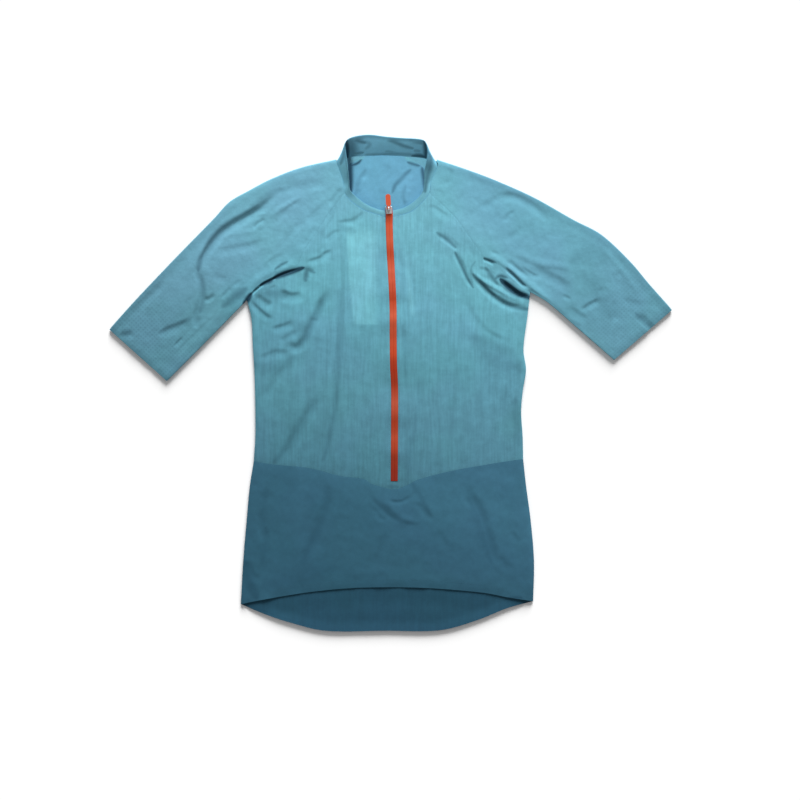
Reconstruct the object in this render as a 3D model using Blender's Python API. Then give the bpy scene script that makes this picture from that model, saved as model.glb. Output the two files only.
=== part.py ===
"""A half-zip cycling jersey with short raglan sleeves, laid flat with its front up.

Metres, +Z up, +Y towards the collar. The garment lies on z = 0 with the origin under the middle of its outline.
Each cut piece is one closed wall of cloth. The back layer lies flat, and the front layer lies over it, rising
from the seams to a low crown and bending into the folds. Left and right are those of someone looking down at it.
"""

import math
from collections import namedtuple

import bmesh
import bpy
from mathutils import Matrix, Vector

# Cloth and how it lies
CLOTH = 0.0013  # thickness of each wall of cloth
SEAM_GAP = 0.0003  # space between two pieces along a seam
SEWN_EDGE = 2 * CLOTH + SEAM_GAP  # height of the face where front and back are sewn together
FOLDED_EDGE = 0.0044  # height of the sleeve where it folds over at the shoulder
CROWN = 0.0055  # height of the face away from its edges
ROLL_WIDTH = 0.018  # distance from an edge over which the face rises to its crown
FOLD_FADE = 0.010  # distance from an edge over which the folds grow to full height
NECK_CLEARANCE = 0.0008  # from the middle of the collar's wall to the edge of the panels

# Zip
ZIP_WIDTH = 0.0112
ZIP_PROUD = 0.0003  # the tape's face stands this far above the front beside it
ZIP_CAMBER = 0.0002  # the tape is this much higher along its middle
TAPE = 0.0012  # thickness of the tape
TAPE_TOP = 0.0080  # height of the tape's face under the slider
SLIDER_PLACE = (-0.0028, 0.2768)  # middle of the slider
SLIDER_LENGTH = 0.0120
SLIDER_WIDTH = 0.0104
SLIDER_TAIL = 0.80  # width of the slider's lower end, as a share of its width
SLIDER_TILT = math.radians(6)  # the zip climbs to its top by this much
SLIDER_LEAN = math.radians(4)  # and leans to the left
PLATE = 0.0012  # thickness of the slider's upper plate
LOWER_PLATE = 0.0010
NOSE = 0.0022  # length of the block that joins the two plates
CROWN_OFFSET = 0.0022  # the slider's crown stands this far above its middle
CROWN_WIDTH = 0.0024
CROWN_REACH = 0.0030  # from the hinge line to the outer face of each foot
CROWN_FOOT = 0.0012  # thickness of each foot
CROWN_TOP = 0.0010  # thickness of the bar over the hinge
CROWN_ROUND = 0.0008  # corners taken off the crown
HINGE_HEIGHT = 0.0012  # of the hinge line above the upper plate
PULLER_DROOP = math.radians(3)  # the pull tab hangs by this much below the slider's own slope
PULLER_THICKNESS = 0.0013
PULLER_LENGTH = 0.0235  # from the hinge line to the rounded end
PULLER_WIDTH = 0.0080
LOOP_WIDTH = 0.0056  # the puller's narrow end, which holds the hinge bar
LOOP_LENGTH = 0.0052
HINGE_BAR = 0.0012
LOOP_SPACE = 0.0030  # width of the window in the loop
LOOP_END = 0.0042  # from the hinge line to the far side of that window
METAL_EDGE = 0.00022  # rounding of the slider's and the puller's edges

# Fineness of the walls
SIDE_ROWS = 17  # from the V seam up to the armpit
RAGLAN_ROWS = 15  # from the armpit up to the collar
HALF_COLUMNS = 15  # from a side seam to the zip
HEM_ROWS = 10
ARM_ROWS = 13  # from the cuff up to the armpit
UPPER_COLUMNS = 11  # across a sleeve's upper layer
ROLL_COLUMNS = 4  # round its fold at the shoulder
UNDER_COLUMNS = 3  # across its lower layer
COLLAR_STEPS = 2  # between one collar section and the next
COLLAR_ROWS = 3
FOLD_STEPS = 8
FINE_STEPS = 240

Section = namedtuple("Section", "left_x left_y right_x right_y")

SHOULDER_LINE = [  # top outline of the sleeves, from the cuff to the collar
    Section(-0.4498, 0.0864, 0.4498, 0.1176),
    Section(-0.4043, 0.1368, 0.4133, 0.1584),
    Section(-0.3435, 0.2008, 0.3829, 0.1944),
    Section(-0.2811, 0.2648, 0.3365, 0.2376),
    Section(-0.2571, 0.2904, 0.2901, 0.2624),
    Section(-0.2267, 0.3080, 0.2293, 0.2968),
    Section(-0.1899, 0.3272, 0.1685, 0.3240),
    Section(-0.1435, 0.3448, 0.1221, 0.3416),
    Section(-0.0872, 0.3578, 0.0739, 0.3576),
]
UNDERARM = [  # from the cuff to the armpit
    Section(-0.3579, 0.0040, 0.3573, 0.0376),
    Section(-0.3083, 0.0536, 0.2949, 0.0920),
    Section(-0.2587, 0.1040, 0.2501, 0.1304),
    Section(-0.2299, 0.1336, 0.2229, 0.1464),
]
FRONT_RAGLAN = [  # from the armpit towards the collar
    Section(-0.2299, 0.1336, 0.2229, 0.1464),
    Section(-0.2155, 0.1504, 0.2069, 0.1480),
    Section(-0.1963, 0.1632, 0.1909, 0.1560),
    Section(-0.1707, 0.1752, 0.1749, 0.1664),
    Section(-0.1499, 0.1888, 0.1589, 0.1832),
    Section(-0.1387, 0.2120, 0.1461, 0.2056),
    Section(-0.1195, 0.2408, 0.1269, 0.2328),
    Section(-0.0971, 0.2744, 0.1029, 0.2656),
]
BACK_RAGLAN = [  # the same seam on the layer below
    Section(-0.2299, 0.1336, 0.2229, 0.1464),
    Section(-0.2059, 0.1624, 0.1877, 0.1784),
    Section(-0.1771, 0.2024, 0.1509, 0.2200),
    Section(-0.1419, 0.2584, 0.1141, 0.2696),
    Section(-0.1051, 0.3096, 0.0789, 0.3144),
    Section(-0.0731, 0.3464, 0.0517, 0.3464),
]
SIDE = [  # from the V seam to the armpit
    Section(-0.2187, -0.1240, 0.2117, -0.1208),
    Section(-0.2163, -0.0840, 0.2109, -0.0840),
    Section(-0.2163, -0.0456, 0.2085, -0.0456),
    Section(-0.2168, -0.0136, 0.2109, -0.0136),
    Section(-0.2179, 0.0216, 0.2162, 0.0216),
    Section(-0.2203, 0.0600, 0.2122, 0.0552),
    Section(-0.2227, 0.1048, 0.2189, 0.1096),
    Section(-0.2299, 0.1336, 0.2229, 0.1464),
]
HEM_SIDE = [  # from the V seam to the hem
    Section(-0.2187, -0.1240, 0.2117, -0.1208),
    Section(-0.2251, -0.1640, 0.2165, -0.1640),
    Section(-0.2299, -0.2152, 0.2237, -0.2184),
    Section(-0.2355, -0.2824, 0.2290, -0.2824),
    Section(-0.2395, -0.3528, 0.2277, -0.3480),
]
V_SEAM = [  # from each side to the edge of the zip
    Section(-0.2187, -0.1240, 0.2117, -0.1208),
    Section(-0.1931, -0.1288, 0.1829, -0.1248),
    Section(-0.1307, -0.1352, 0.1541, -0.1296),
    Section(-0.0795, -0.1480, 0.0997, -0.1392),
    Section(-0.0427, -0.1528, 0.0437, -0.1536),
    Section(-0.0299, -0.1608, 0.0277, -0.1616),
    Section(-0.0006, -0.1688, 0.0112, -0.1688),
]
HEM_FRONT_EDGE = [  # from each side to the middle
    Section(-0.2395, -0.3528, 0.2277, -0.3480),
    Section(-0.2091, -0.3464, 0.1861, -0.3416),
    Section(-0.1307, -0.3336, 0.1477, -0.3344),
    Section(-0.0651, -0.3272, 0.0629, -0.3272),
    Section(-0.0011, -0.3256, -0.0011, -0.3256),
]
HEM_BACK_EDGE = [  # the longer back, from each side to the middle
    Section(-0.2395, -0.3528, 0.2277, -0.3480),
    Section(-0.2011, -0.3688, 0.1861, -0.3592),
    Section(-0.1627, -0.3816, 0.1381, -0.3784),
    Section(-0.1051, -0.3952, 0.0789, -0.3944),
    Section(-0.0091, -0.3952, -0.0091, -0.3952),
]

ZIP_LINE = [  # middle of the zip, from its lower end to the collar
    Vector((0.0053, -0.1560)),
    Vector((0.0048, -0.0424)),
    Vector((0.0032, 0.0296)),
    Vector((0.0021, 0.1256)),
    Vector((0.0002, 0.1736)),
    Vector((-0.0018, 0.2216)),
    Vector((-0.0027, 0.2664)),
]
ZIP_AT_ARMPITS = 0.1280  # the zip's place in Y on the row that starts at the armpits

# The collar's wall at each section: the line it is sewn on, and its top edge
CollarSection = namedtuple("CollarSection", "where base_x base_y base_z top_x top_y top_z")
COLLAR = [
    CollarSection("left front end", -0.0089, 0.2674, 0.0047, -0.0087, 0.2760, 0.0076),
    CollarSection("left front", -0.0211, 0.2707, 0.0049, -0.0203, 0.2782, 0.0084),
    CollarSection("left front", -0.0427, 0.2781, 0.0049, -0.0379, 0.2856, 0.0096),
    CollarSection("left front", -0.0632, 0.2922, 0.0049, -0.0547, 0.2979, 0.0114),
    CollarSection("left raglan", -0.0734, 0.3048, 0.0049, -0.0646, 0.3088, 0.0130),
    CollarSection("left side", -0.0746, 0.3185, 0.0047, -0.0662, 0.3232, 0.0142),
    CollarSection("left side", -0.0778, 0.3320, 0.0045, -0.0678, 0.3384, 0.0152),
    CollarSection("left side", -0.0819, 0.3448, 0.0042, -0.0694, 0.3544, 0.0162),
    CollarSection("left shoulder", -0.0851, 0.3550, 0.0037, -0.0715, 0.3704, 0.0172),
    CollarSection("left corner", -0.0828, 0.3586, 0.0022, -0.0726, 0.3816, 0.0178),
    CollarSection("left back corner", -0.0740, 0.3603, 0.0010, -0.0678, 0.3891, 0.0170),
    CollarSection("left back", -0.0611, 0.3630, 0.0008, -0.0547, 0.3941, 0.0160),
    CollarSection("left back raglan", -0.0395, 0.3642, 0.0008, -0.0331, 0.3962, 0.0150),
    CollarSection("middle of the back", -0.0075, 0.3651, 0.0008, -0.0075, 0.3934, 0.0146),
    CollarSection("right back raglan", 0.0245, 0.3634, 0.0008, 0.0213, 0.3909, 0.0150),
    CollarSection("right back", 0.0469, 0.3616, 0.0008, 0.0421, 0.3898, 0.0160),
    CollarSection("right back corner", 0.0600, 0.3593, 0.0010, 0.0530, 0.3870, 0.0168),
    CollarSection("right corner", 0.0684, 0.3579, 0.0022, 0.0570, 0.3808, 0.0174),
    CollarSection("right shoulder", 0.0720, 0.3540, 0.0037, 0.0587, 0.3688, 0.0168),
    CollarSection("right side", 0.0741, 0.3472, 0.0042, 0.0573, 0.3544, 0.0160),
    CollarSection("right side", 0.0696, 0.3352, 0.0045, 0.0538, 0.3384, 0.0150),
    CollarSection("right side", 0.0642, 0.3224, 0.0047, 0.0533, 0.3208, 0.0141),
    CollarSection("right raglan", 0.0616, 0.3053, 0.0049, 0.0506, 0.3056, 0.0129),
    CollarSection("right front", 0.0470, 0.2872, 0.0049, 0.0392, 0.2923, 0.0114),
    CollarSection("right front", 0.0301, 0.2742, 0.0049, 0.0229, 0.2814, 0.0096),
    CollarSection("right front end", 0.0035, 0.2670, 0.0047, 0.0032, 0.2763, 0.0076),
]

# Folds of the upper layer: four places along each, its half width, and its height, below zero for a hollow
Fold = namedtuple("Fold", "where start second third end width lift")
FOLDS = [
    Fold("left shoulder crease", (-0.200, 0.287), (-0.248, 0.266), (-0.292, 0.230), (-0.308, 0.178), 0.015, -0.0022),
    Fold("under that crease", (-0.200, 0.234), (-0.224, 0.231), (-0.250, 0.227), (-0.275, 0.220), 0.014, -0.0012),
    Fold("left elbow ridge", (-0.248, 0.167), (-0.258, 0.152), (-0.269, 0.134), (-0.281, 0.116), 0.014, 0.0018),
    Fold("beside that ridge", (-0.289, 0.153), (-0.296, 0.139), (-0.304, 0.125), (-0.315, 0.111), 0.012, -0.0014),
    Fold("left underarm crease", (-0.281, 0.113), (-0.309, 0.090), (-0.337, 0.069), (-0.364, 0.047), 0.011, -0.0012),
    Fold("left armpit seam", (-0.140, 0.188), (-0.170, 0.177), (-0.201, 0.161), (-0.227, 0.135), 0.012, -0.0036),
    Fold("roll over it", (-0.161, 0.202), (-0.185, 0.193), (-0.211, 0.180), (-0.236, 0.156), 0.013, 0.0024),
    Fold("left chest arc", (-0.126, 0.185), (-0.100, 0.153), (-0.110, 0.114), (-0.142, 0.066), 0.013, -0.0022),
    Fold("puff inside the arc", (-0.171, 0.138), (-0.162, 0.117), (-0.160, 0.097), (-0.164, 0.076), 0.022, 0.0022),
    Fold("under the left raglan", (-0.056, 0.238), (-0.075, 0.245), (-0.095, 0.240), (-0.116, 0.223), 0.012, -0.0012),
    Fold("left front hollow", (-0.079, 0.194), (-0.084, 0.092), (-0.092, -0.010), (-0.105, -0.114), 0.016, -0.0022),
    Fold("ridge beside it", (-0.110, 0.086), (-0.111, 0.040), (-0.115, -0.005), (-0.123, -0.050), 0.014, 0.0012),
    Fold("left waist hollow", (-0.115, 0.004), (-0.139, -0.030), (-0.160, -0.072), (-0.180, -0.119), 0.015, -0.0018),
    Fold("right shoulder crease", (0.162, 0.303), (0.197, 0.303), (0.230, 0.289), (0.260, 0.262), 0.012, -0.0016),
    Fold("over the right underarm", (0.186, 0.207), (0.220, 0.191), (0.256, 0.169), (0.290, 0.140), 0.014, -0.0018),
    Fold("right armpit seam", (0.149, 0.201), (0.166, 0.176), (0.190, 0.156), (0.219, 0.146), 0.012, -0.0036),
    Fold("over that seam", (0.170, 0.194), (0.186, 0.185), (0.202, 0.172), (0.216, 0.158), 0.011, -0.0020),
    Fold("under that seam", (0.132, 0.174), (0.150, 0.147), (0.181, 0.127), (0.220, 0.119), 0.012, -0.0026),
    Fold("right chest crease", (0.076, 0.244), (0.098, 0.221), (0.116, 0.188), (0.133, 0.154), 0.012, -0.0022),
    Fold("beside the zip", (0.021, 0.030), (0.026, -0.021), (0.032, -0.073), (0.037, -0.124), 0.014, -0.0016),
    Fold("left hem hollow", (-0.105, -0.151), (-0.109, -0.181), (-0.115, -0.212), (-0.121, -0.242), 0.013, -0.0014),
    Fold("hem, left side", (-0.203, -0.154), (-0.201, -0.186), (-0.199, -0.218), (-0.196, -0.249), 0.014, -0.0014),
    Fold("right hem hollow", (0.122, -0.154), (0.139, -0.192), (0.158, -0.240), (0.180, -0.294), 0.014, -0.0016),
]


# Smooth paths in plan

def direction(points, i):
    """The curve's direction at points[i], from the points on each side of it."""
    before = points[max(i - 1, 0)]
    after = points[min(i + 1, len(points) - 1)]
    here = points[i]
    return (after - before) / ((after - here).length + (here - before).length)


def point_at(points, place):
    """A point on the smooth curve through points. place counts them: 2.5 lies between points[2] and points[3]."""
    i = min(int(place), len(points) - 2)
    share = place - i
    run = (points[i + 1] - points[i]).length
    square = share * share
    cube = square * share
    return (
        points[i] * (2 * cube - 3 * square + 1)
        + direction(points, i) * run * (cube - 2 * square + share)
        + points[i + 1] * (3 * square - 2 * cube)
        + direction(points, i + 1) * run * (cube - square)
    )


def evenly(points, steps, first=0, last=None):
    """Points at even distances along the smooth curve, from its point first to its point last."""
    last = len(points) - 1 if last is None else last
    fine = [point_at(points, first + (last - first) * k / FINE_STEPS) for k in range(FINE_STEPS + 1)]
    gone = [0.0]
    for a, b in zip(fine, fine[1:]):
        gone.append(gone[-1] + (b - a).length)
    path = []
    k = 0
    for step in range(steps + 1):
        goal = gone[-1] * step / steps
        while k < FINE_STEPS - 1 and gone[k + 1] < goal:
            k += 1
        path.append(fine[k].lerp(fine[k + 1], (goal - gone[k]) / (gone[k + 1] - gone[k])))
    return path


def beside(path, distance):
    """The path moved to its left by distance."""
    moved = []
    for i, point in enumerate(path):
        ahead = path[min(i + 1, len(path) - 1)] - path[max(i - 1, 0)]
        moved.append(point + Vector((-ahead.y, ahead.x)).normalized() * distance)
    return moved


def on_side(table, side):
    """A table's places on one side of the garment."""
    return [Vector((getattr(row, side + "_x"), getattr(row, side + "_y"))) for row in table]


def ease(share):
    """Rises smoothly from 0 to 1 as share does, and stays there past them."""
    share = min(max(share, 0.0), 1.0)
    return share * share * (3 - 2 * share)


def nearest(path, place):
    """Distance from place to the path, and how far along the path its nearest point is, from 0 to 1."""
    best = (math.inf, 0.0)
    for i, (a, b) in enumerate(zip(path, path[1:])):
        along = b - a
        share = min(max((place - a).dot(along) / along.length_squared, 0.0), 1.0)
        gap = (place - a - along * share).length
        best = min(best, (gap, (i + share) / (len(path) - 1)))
    return best


# The neckline: where the collar is sewn on, and its named sections

NECKLINE = [Vector((row.base_x, row.base_y)) for row in COLLAR]
STATION = {row.where: i for i, row in enumerate(COLLAR)}


def neck_edge(steps, first, last, beyond=1):
    """Edge of the panels along the neckline between two stations. It lies outside the collar's base, or inside
    where beyond is -1, as on the back, where the collar folds away from the neck."""
    path = evenly(NECKLINE, steps, STATION[first], STATION[last])
    return beside(path, beyond * NECK_CLEARANCE)


# Height of the upper layer's face

def both_sides(table, height):
    return [(evenly(on_side(table, side), 24), height) for side in ("left", "right")]


EDGES = (
    both_sides(SHOULDER_LINE, FOLDED_EDGE)
    + both_sides(UNDERARM, SEWN_EDGE)
    + both_sides(SIDE, SEWN_EDGE)
    + both_sides(HEM_SIDE, SEWN_EDGE)
)
FOLD_PATHS = [
    evenly([Vector(fold.start), Vector(fold.second), Vector(fold.third), Vector(fold.end)], FOLD_STEPS)
    for fold in FOLDS
]


def fold_lift(place):
    """How much the folds raise or lower the face at a place."""
    lift = 0.0
    for fold, path in zip(FOLDS, FOLD_PATHS):
        gap, along = nearest(path, place)
        if gap < fold.width:
            across = 0.5 + 0.5 * math.cos(math.pi * gap / fold.width)
            lift += fold.lift * across * ease(5 * along) * ease(5 * (1 - along))
    return lift


def face(place):
    """The point of the upper layer's face over a place in plan."""
    height = CROWN
    reach = ROLL_WIDTH
    for path, edge_height in EDGES:
        gap = nearest(path, place)[0]
        reach = min(reach, gap)
        height = min(height, edge_height + (CROWN - edge_height) * ease(gap / ROLL_WIDTH))
    height += fold_lift(place) * ease(reach / FOLD_FADE)
    return Vector((place.x, place.y, max(height, SEWN_EDGE)))


def below(points, drop):
    """The same rows of points, lower by drop."""
    return [[point - Vector((0, 0, drop)) for point in row] for row in points]


# Making solids

def cloth_material(name, colour, roughness=0.85, metallic=0.0):
    material = bpy.data.materials.new(name)
    material.use_nodes = True
    shader = material.node_tree.nodes["Principled BSDF"]
    shader.inputs["Base Color"].default_value = (*colour, 1.0)
    shader.inputs["Roughness"].default_value = roughness
    shader.inputs["Metallic"].default_value = metallic
    material.diffuse_color = (*colour, 1.0)
    return material


def add_object(name, bm, material):
    bmesh.ops.recalc_face_normals(bm, faces=bm.faces)
    if bm.calc_volume(signed=True) < 0:
        bmesh.ops.reverse_faces(bm, faces=bm.faces)
    mesh = bpy.data.meshes.new(name)
    bm.to_mesh(mesh)
    bm.free()
    mesh.materials.append(material)
    mesh.shade_smooth()
    mesh.set_sharp_from_angle(angle=math.radians(50))
    thing = bpy.data.objects.new(name, mesh)
    bpy.context.scene.collection.objects.link(thing)
    return thing


def wall(name, outer, inner, material, slit=None):
    """A closed wall of cloth between two grids of points. slit(row, column) says which cells are left open."""
    rows = len(outer)
    columns = len(outer[0])
    bm = bmesh.new()
    spot = bm.verts.layers.int.new("spot")
    bmesh.ops.create_grid(bm, x_segments=columns - 1, y_segments=rows - 1, size=1.0)
    for i, vert in enumerate(bm.verts):
        vert[spot] = i
    bm.faces.ensure_lookup_table()
    if slit:
        open_cells = [
            bm.faces[row * (columns - 1) + column]
            for row in range(rows - 1)
            for column in range(columns - 1)
            if slit(row, column)
        ]
        bmesh.ops.delete(bm, geom=open_cells, context="FACES")
    far = bmesh.ops.extrude_face_region(bm, geom=bm.faces[:])["geom"]
    inner_verts = {item for item in far if isinstance(item, bmesh.types.BMVert)}
    for vert in bm.verts:
        row, column = divmod(vert[spot], columns)
        vert.co = inner[row][column] if vert in inner_verts else outer[row][column]
    return add_object(name, bm, material)


def plate(name, outline, bottom, top, material):
    """A flat closed piece with the given outline in plan."""
    bm = bmesh.new()
    base = bm.faces.new([bm.verts.new((point.x, point.y, bottom)) for point in outline])
    raised = bmesh.ops.extrude_face_region(bm, geom=[base])["geom"]
    verts = [item for item in raised if isinstance(item, bmesh.types.BMVert)]
    bmesh.ops.translate(bm, verts=verts, vec=(0, 0, top - bottom))
    bmesh.ops.triangulate(bm, faces=[face for face in bm.faces if len(face.verts) > 4])
    return add_object(name, bm, material)


def patch(left, right, lower, upper, hold=1.0):
    """Rows of points that fill the space between four paths. hold above 1 keeps the upper path's bend near it."""
    rows = []
    last_row = len(left) - 1
    last_column = len(lower) - 1
    for j, (start, end) in enumerate(zip(left, right)):
        up = j / last_row
        row = []
        for i in range(last_column + 1):
            across = i / last_column
            bend_low = lower[i] - lower[0].lerp(lower[-1], across)
            bend_high = upper[i] - upper[0].lerp(upper[-1], across)
            row.append(start.lerp(end, across) + bend_low * (1 - up) ** hold + bend_high * up**hold)
        rows.append(row)
    return rows


# The panels

def raglan(table, side, neck_point):
    """A raglan seam from the armpit to the neckline, in the rows that both of its panels share."""
    return evenly(on_side(table, side) + [neck_point], RAGLAN_ROWS)


NECK_CORNER = {
    "left": neck_edge(1, "left front end", "left raglan")[-1],
    "right": neck_edge(1, "right raglan", "right front end")[0],
}
BACK_CORNER = {
    "left": neck_edge(1, "left back raglan", "middle of the back", -1)[0],
    "right": neck_edge(1, "middle of the back", "right back raglan", -1)[-1],
}
FRONT_SEAM = {side: raglan(FRONT_RAGLAN, side, NECK_CORNER[side]) for side in ("left", "right")}
BACK_SEAM = {side: raglan(BACK_RAGLAN, side, BACK_CORNER[side]) for side in ("left", "right")}
SIDE_SEAM = {side: evenly(on_side(SIDE, side), SIDE_ROWS) for side in ("left", "right")}
HEM_SIDE_SEAM = {side: evenly(on_side(HEM_SIDE, side), HEM_ROWS) for side in ("left", "right")}
TOWARDS_SLEEVE = {"left": 1, "right": -1}  # which side of a raglan path its sleeve lies on


def zip_middle():
    """Places along the middle of the zip, one for each row of the front above its first."""
    fine = evenly(ZIP_LINE, FINE_STEPS)
    armpits = min(range(len(fine)), key=lambda k: abs(fine[k].y - ZIP_AT_ARMPITS))
    below_armpits = evenly(fine[: armpits + 1], SIDE_ROWS - 1)
    return below_armpits + evenly(fine[armpits:], RAGLAN_ROWS)[1:]


ZIP_PATH = zip_middle()


def front_half(side):
    """Places of one half of the front, row by row, from its side seam to the zip."""
    out = -1 if side == "left" else 1
    half_slot = Vector((out * (ZIP_WIDTH / 2 + SEAM_GAP), 0))
    raise_half_gap = Vector((0, SEAM_GAP / 2))
    v_seam = [point + raise_half_gap for point in evenly(on_side(V_SEAM, side), HALF_COLUMNS)]
    raglan_edge = beside(FRONT_SEAM[side], -TOWARDS_SLEEVE[side] * SEAM_GAP / 2)
    outer_edge = [v_seam[0]] + SIDE_SEAM[side][1:-1] + raglan_edge
    if side == "left":
        neck = neck_edge(HALF_COLUMNS, "left front end", "left raglan")[::-1]
    else:
        neck = neck_edge(HALF_COLUMNS, "right raglan", "right front end")
    zip_edge = [v_seam[-1]] + [point + half_slot for point in ZIP_PATH]
    zip_edge[-1] = neck[-1]
    return patch(outer_edge, zip_edge, v_seam, neck)


def front_body(material):
    """The upper front: both halves, joined under the lower end of the zip."""
    rows = [left + right[::-1] for left, right in zip(front_half("left"), front_half("right"))]
    outer = [[face(place) for place in row] for row in rows]

    def beside_zip(row, column):
        return row > 0 and column == HALF_COLUMNS

    return wall("front_body", outer, below(outer, CLOTH), material, slit=beside_zip)


def hem_front(material):
    """The darker front panel, from the V seam down to its curved edge."""
    lower_half_gap = Vector((0, -SEAM_GAP / 2))
    top = evenly(on_side(V_SEAM, "left"), HALF_COLUMNS) + evenly(on_side(V_SEAM, "right"), HALF_COLUMNS)[::-1]
    top = [point + lower_half_gap for point in top]
    edge = on_side(HEM_FRONT_EDGE, "left") + on_side(HEM_FRONT_EDGE, "right")[-2::-1]
    edge = evenly(edge, len(top) - 1)
    rows = patch(HEM_SIDE_SEAM["left"], HEM_SIDE_SEAM["right"], top, edge)
    outer = [[face(place) for place in row] for row in rows]
    return wall("hem_front", outer, below(outer, CLOTH), material)


def back_body(material):
    """The upper back, flat under the front."""
    lift = Vector((0, SEAM_GAP / 2))
    left = SIDE_SEAM["left"][:-1] + beside(BACK_SEAM["left"], -SEAM_GAP / 2)
    right = SIDE_SEAM["right"][:-1] + beside(BACK_SEAM["right"], SEAM_GAP / 2)
    neck = neck_edge(6, "left back raglan", "right back raglan", -1)
    left[0] = left[0] + lift
    right[0] = right[0] + lift
    return plate("back_body", left + neck[1:-1] + right[::-1], 0.0, CLOTH, material)


def hem_back(material):
    """The darker back panel, flat, with its longer curved tail."""
    edge = on_side(HEM_BACK_EDGE, "left") + on_side(HEM_BACK_EDGE, "right")[-2::-1]
    edge = evenly(edge, 2 * HALF_COLUMNS)
    left = HEM_SIDE_SEAM["left"][:]
    right = HEM_SIDE_SEAM["right"][:]
    drop = Vector((0, -SEAM_GAP / 2))
    left[0] = left[0] + drop
    right[0] = right[0] + drop
    return plate("hem_back", left + edge[1:-1] + right[::-1], 0.0, CLOTH, material)


def sleeve(side, material):
    """A raglan sleeve: upper layer, fold at the shoulder and lower layer in one wall, open along its seams."""
    turn = TOWARDS_SLEEVE[side]
    line = on_side(SHOULDER_LINE, side)
    shoulder = evenly(line, ARM_ROWS + RAGLAN_ROWS)
    underarm = evenly(on_side(UNDERARM, side), ARM_ROWS)
    upper_edge = underarm[:-1] + beside(FRONT_SEAM[side], turn * SEAM_GAP / 2)
    under_edge = underarm[:-1] + beside(BACK_SEAM[side], turn * SEAM_GAP / 2)
    centres = []
    for edge, fold in zip(upper_edge, shoulder):
        centres.append(fold - (fold - edge).normalized() * FOLDED_EDGE / 2)
    if side == "left":
        neck = neck_edge(UPPER_COLUMNS, "left raglan", "left shoulder")
        back_neck = neck_edge(2, "left back corner", "left back raglan", -1)
    else:
        neck = neck_edge(UPPER_COLUMNS, "right shoulder", "right raglan")[::-1]
        back_neck = neck_edge(2, "right back raglan", "right back corner", -1)[::-1]
    cuff = evenly([upper_edge[0], centres[0]], UPPER_COLUMNS)
    upper = patch(upper_edge, centres, cuff, neck, hold=3)
    cuff = evenly([centres[0], under_edge[0]], UNDER_COLUMNS)
    under = patch(centres, under_edge, cuff, [centres[-1], *back_neck], hold=8)
    outer = []
    inner = []
    for upper_row, under_row, edge, centre in zip(upper, under, upper_edge, centres):
        over = [face(place) for place in upper_row]
        radius = over[-1].z / 2
        away = (centre - edge).normalized().to_3d()
        middle = Vector((centre.x, centre.y, radius))
        roll = [math.pi * k / ROLL_COLUMNS for k in range(1, ROLL_COLUMNS + 1)]
        spokes = [away * math.sin(angle) + Vector((0, 0, math.cos(angle))) for angle in roll]
        lower = [place.to_3d() for place in under_row[1:]]
        outer.append(over + [middle + spoke * radius for spoke in spokes] + lower)
        raised = [point + Vector((0, 0, CLOTH)) for point in lower]
        inside = [middle + spoke * (radius - CLOTH) for spoke in spokes]
        inner.append([point - Vector((0, 0, CLOTH)) for point in over] + inside + raised)
    return wall("sleeve_" + side, outer, inner, material)


def collar(material):
    """The stand collar: one band from the zip round the back to the zip again."""
    base = [Vector((row.base_x, row.base_y, row.base_z)) for row in COLLAR]
    top = [Vector((row.top_x, row.top_y, row.top_z)) for row in COLLAR]
    sections = [k / COLLAR_STEPS for k in range((len(COLLAR) - 1) * COLLAR_STEPS + 1)]
    rows = []
    for place in sections:
        low = point_at(base, place)
        high = point_at(top, place)
        rows.append([low.lerp(high, k / COLLAR_ROWS) for k in range(COLLAR_ROWS + 1)])
    outer = []
    inner = []
    for j, row in enumerate(rows):
        before = rows[max(j - 1, 0)]
        after = rows[min(j + 1, len(rows) - 1)]
        rise = (row[-1] - row[0]).normalized()
        across = [(b - a).cross(rise).normalized() for a, b in zip(before, after)]
        outer.append([point + side * CLOTH / 2 for point, side in zip(row, across)])
        inner.append([point - side * CLOTH / 2 for point, side in zip(row, across)])
    return wall("collar", outer, inner, material)


# The zip

def zip_tape(material):
    """The closed zip: a narrow band in the front's slit, climbing between the collar's ends."""
    sideways = [-0.5, -0.25, 0.0, 0.25, 0.5]
    camber = [0.0, 0.75, 1.0, 0.75, 0.0]
    height = [face(place).z + ZIP_PROUD for place in ZIP_PATH]
    path = [Vector((place.x, place.y, z)) for place, z in zip(ZIP_PATH, height)]
    path = [path[0] + Vector((0, SEAM_GAP, 0))] + path[1:]
    slider = Vector((*SLIDER_PLACE, TAPE_TOP))
    along = Vector((-math.sin(SLIDER_LEAN), math.cos(SLIDER_LEAN), math.tan(SLIDER_TILT)))
    path = path[:-1] + [slider - along * SLIDER_LENGTH * 0.75, slider, slider + along * SLIDER_LENGTH * 0.27]
    outer = []
    for point in path:
        row = []
        for share, lift in zip(sideways, camber):
            row.append(point + Vector((share * ZIP_WIDTH, 0, lift * ZIP_CAMBER)))
        outer.append(row)
    return wall("zip_tape", outer, below(outer, TAPE), material)


def side_profile(name, outline, half_width, material):
    """A solid with the given outline in Y and Z, as wide as twice half_width in X."""
    bm = bmesh.new()
    base = bm.faces.new([bm.verts.new((-half_width, y, z)) for y, z in outline])
    far = bmesh.ops.extrude_face_region(bm, geom=[base])["geom"]
    verts = [item for item in far if isinstance(item, bmesh.types.BMVert)]
    bmesh.ops.translate(bm, verts=verts, vec=(2 * half_width, 0, 0))
    return add_object(name, bm, material)


def as_cutter(thing):
    thing.hide_render = True
    thing.display_type = "WIRE"
    return thing


def boolean(thing, other, operation):
    change = thing.modifiers.new(operation.lower(), "BOOLEAN")
    change.operation = operation
    change.object = as_cutter(other)
    change.solver = "EXACT"


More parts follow.
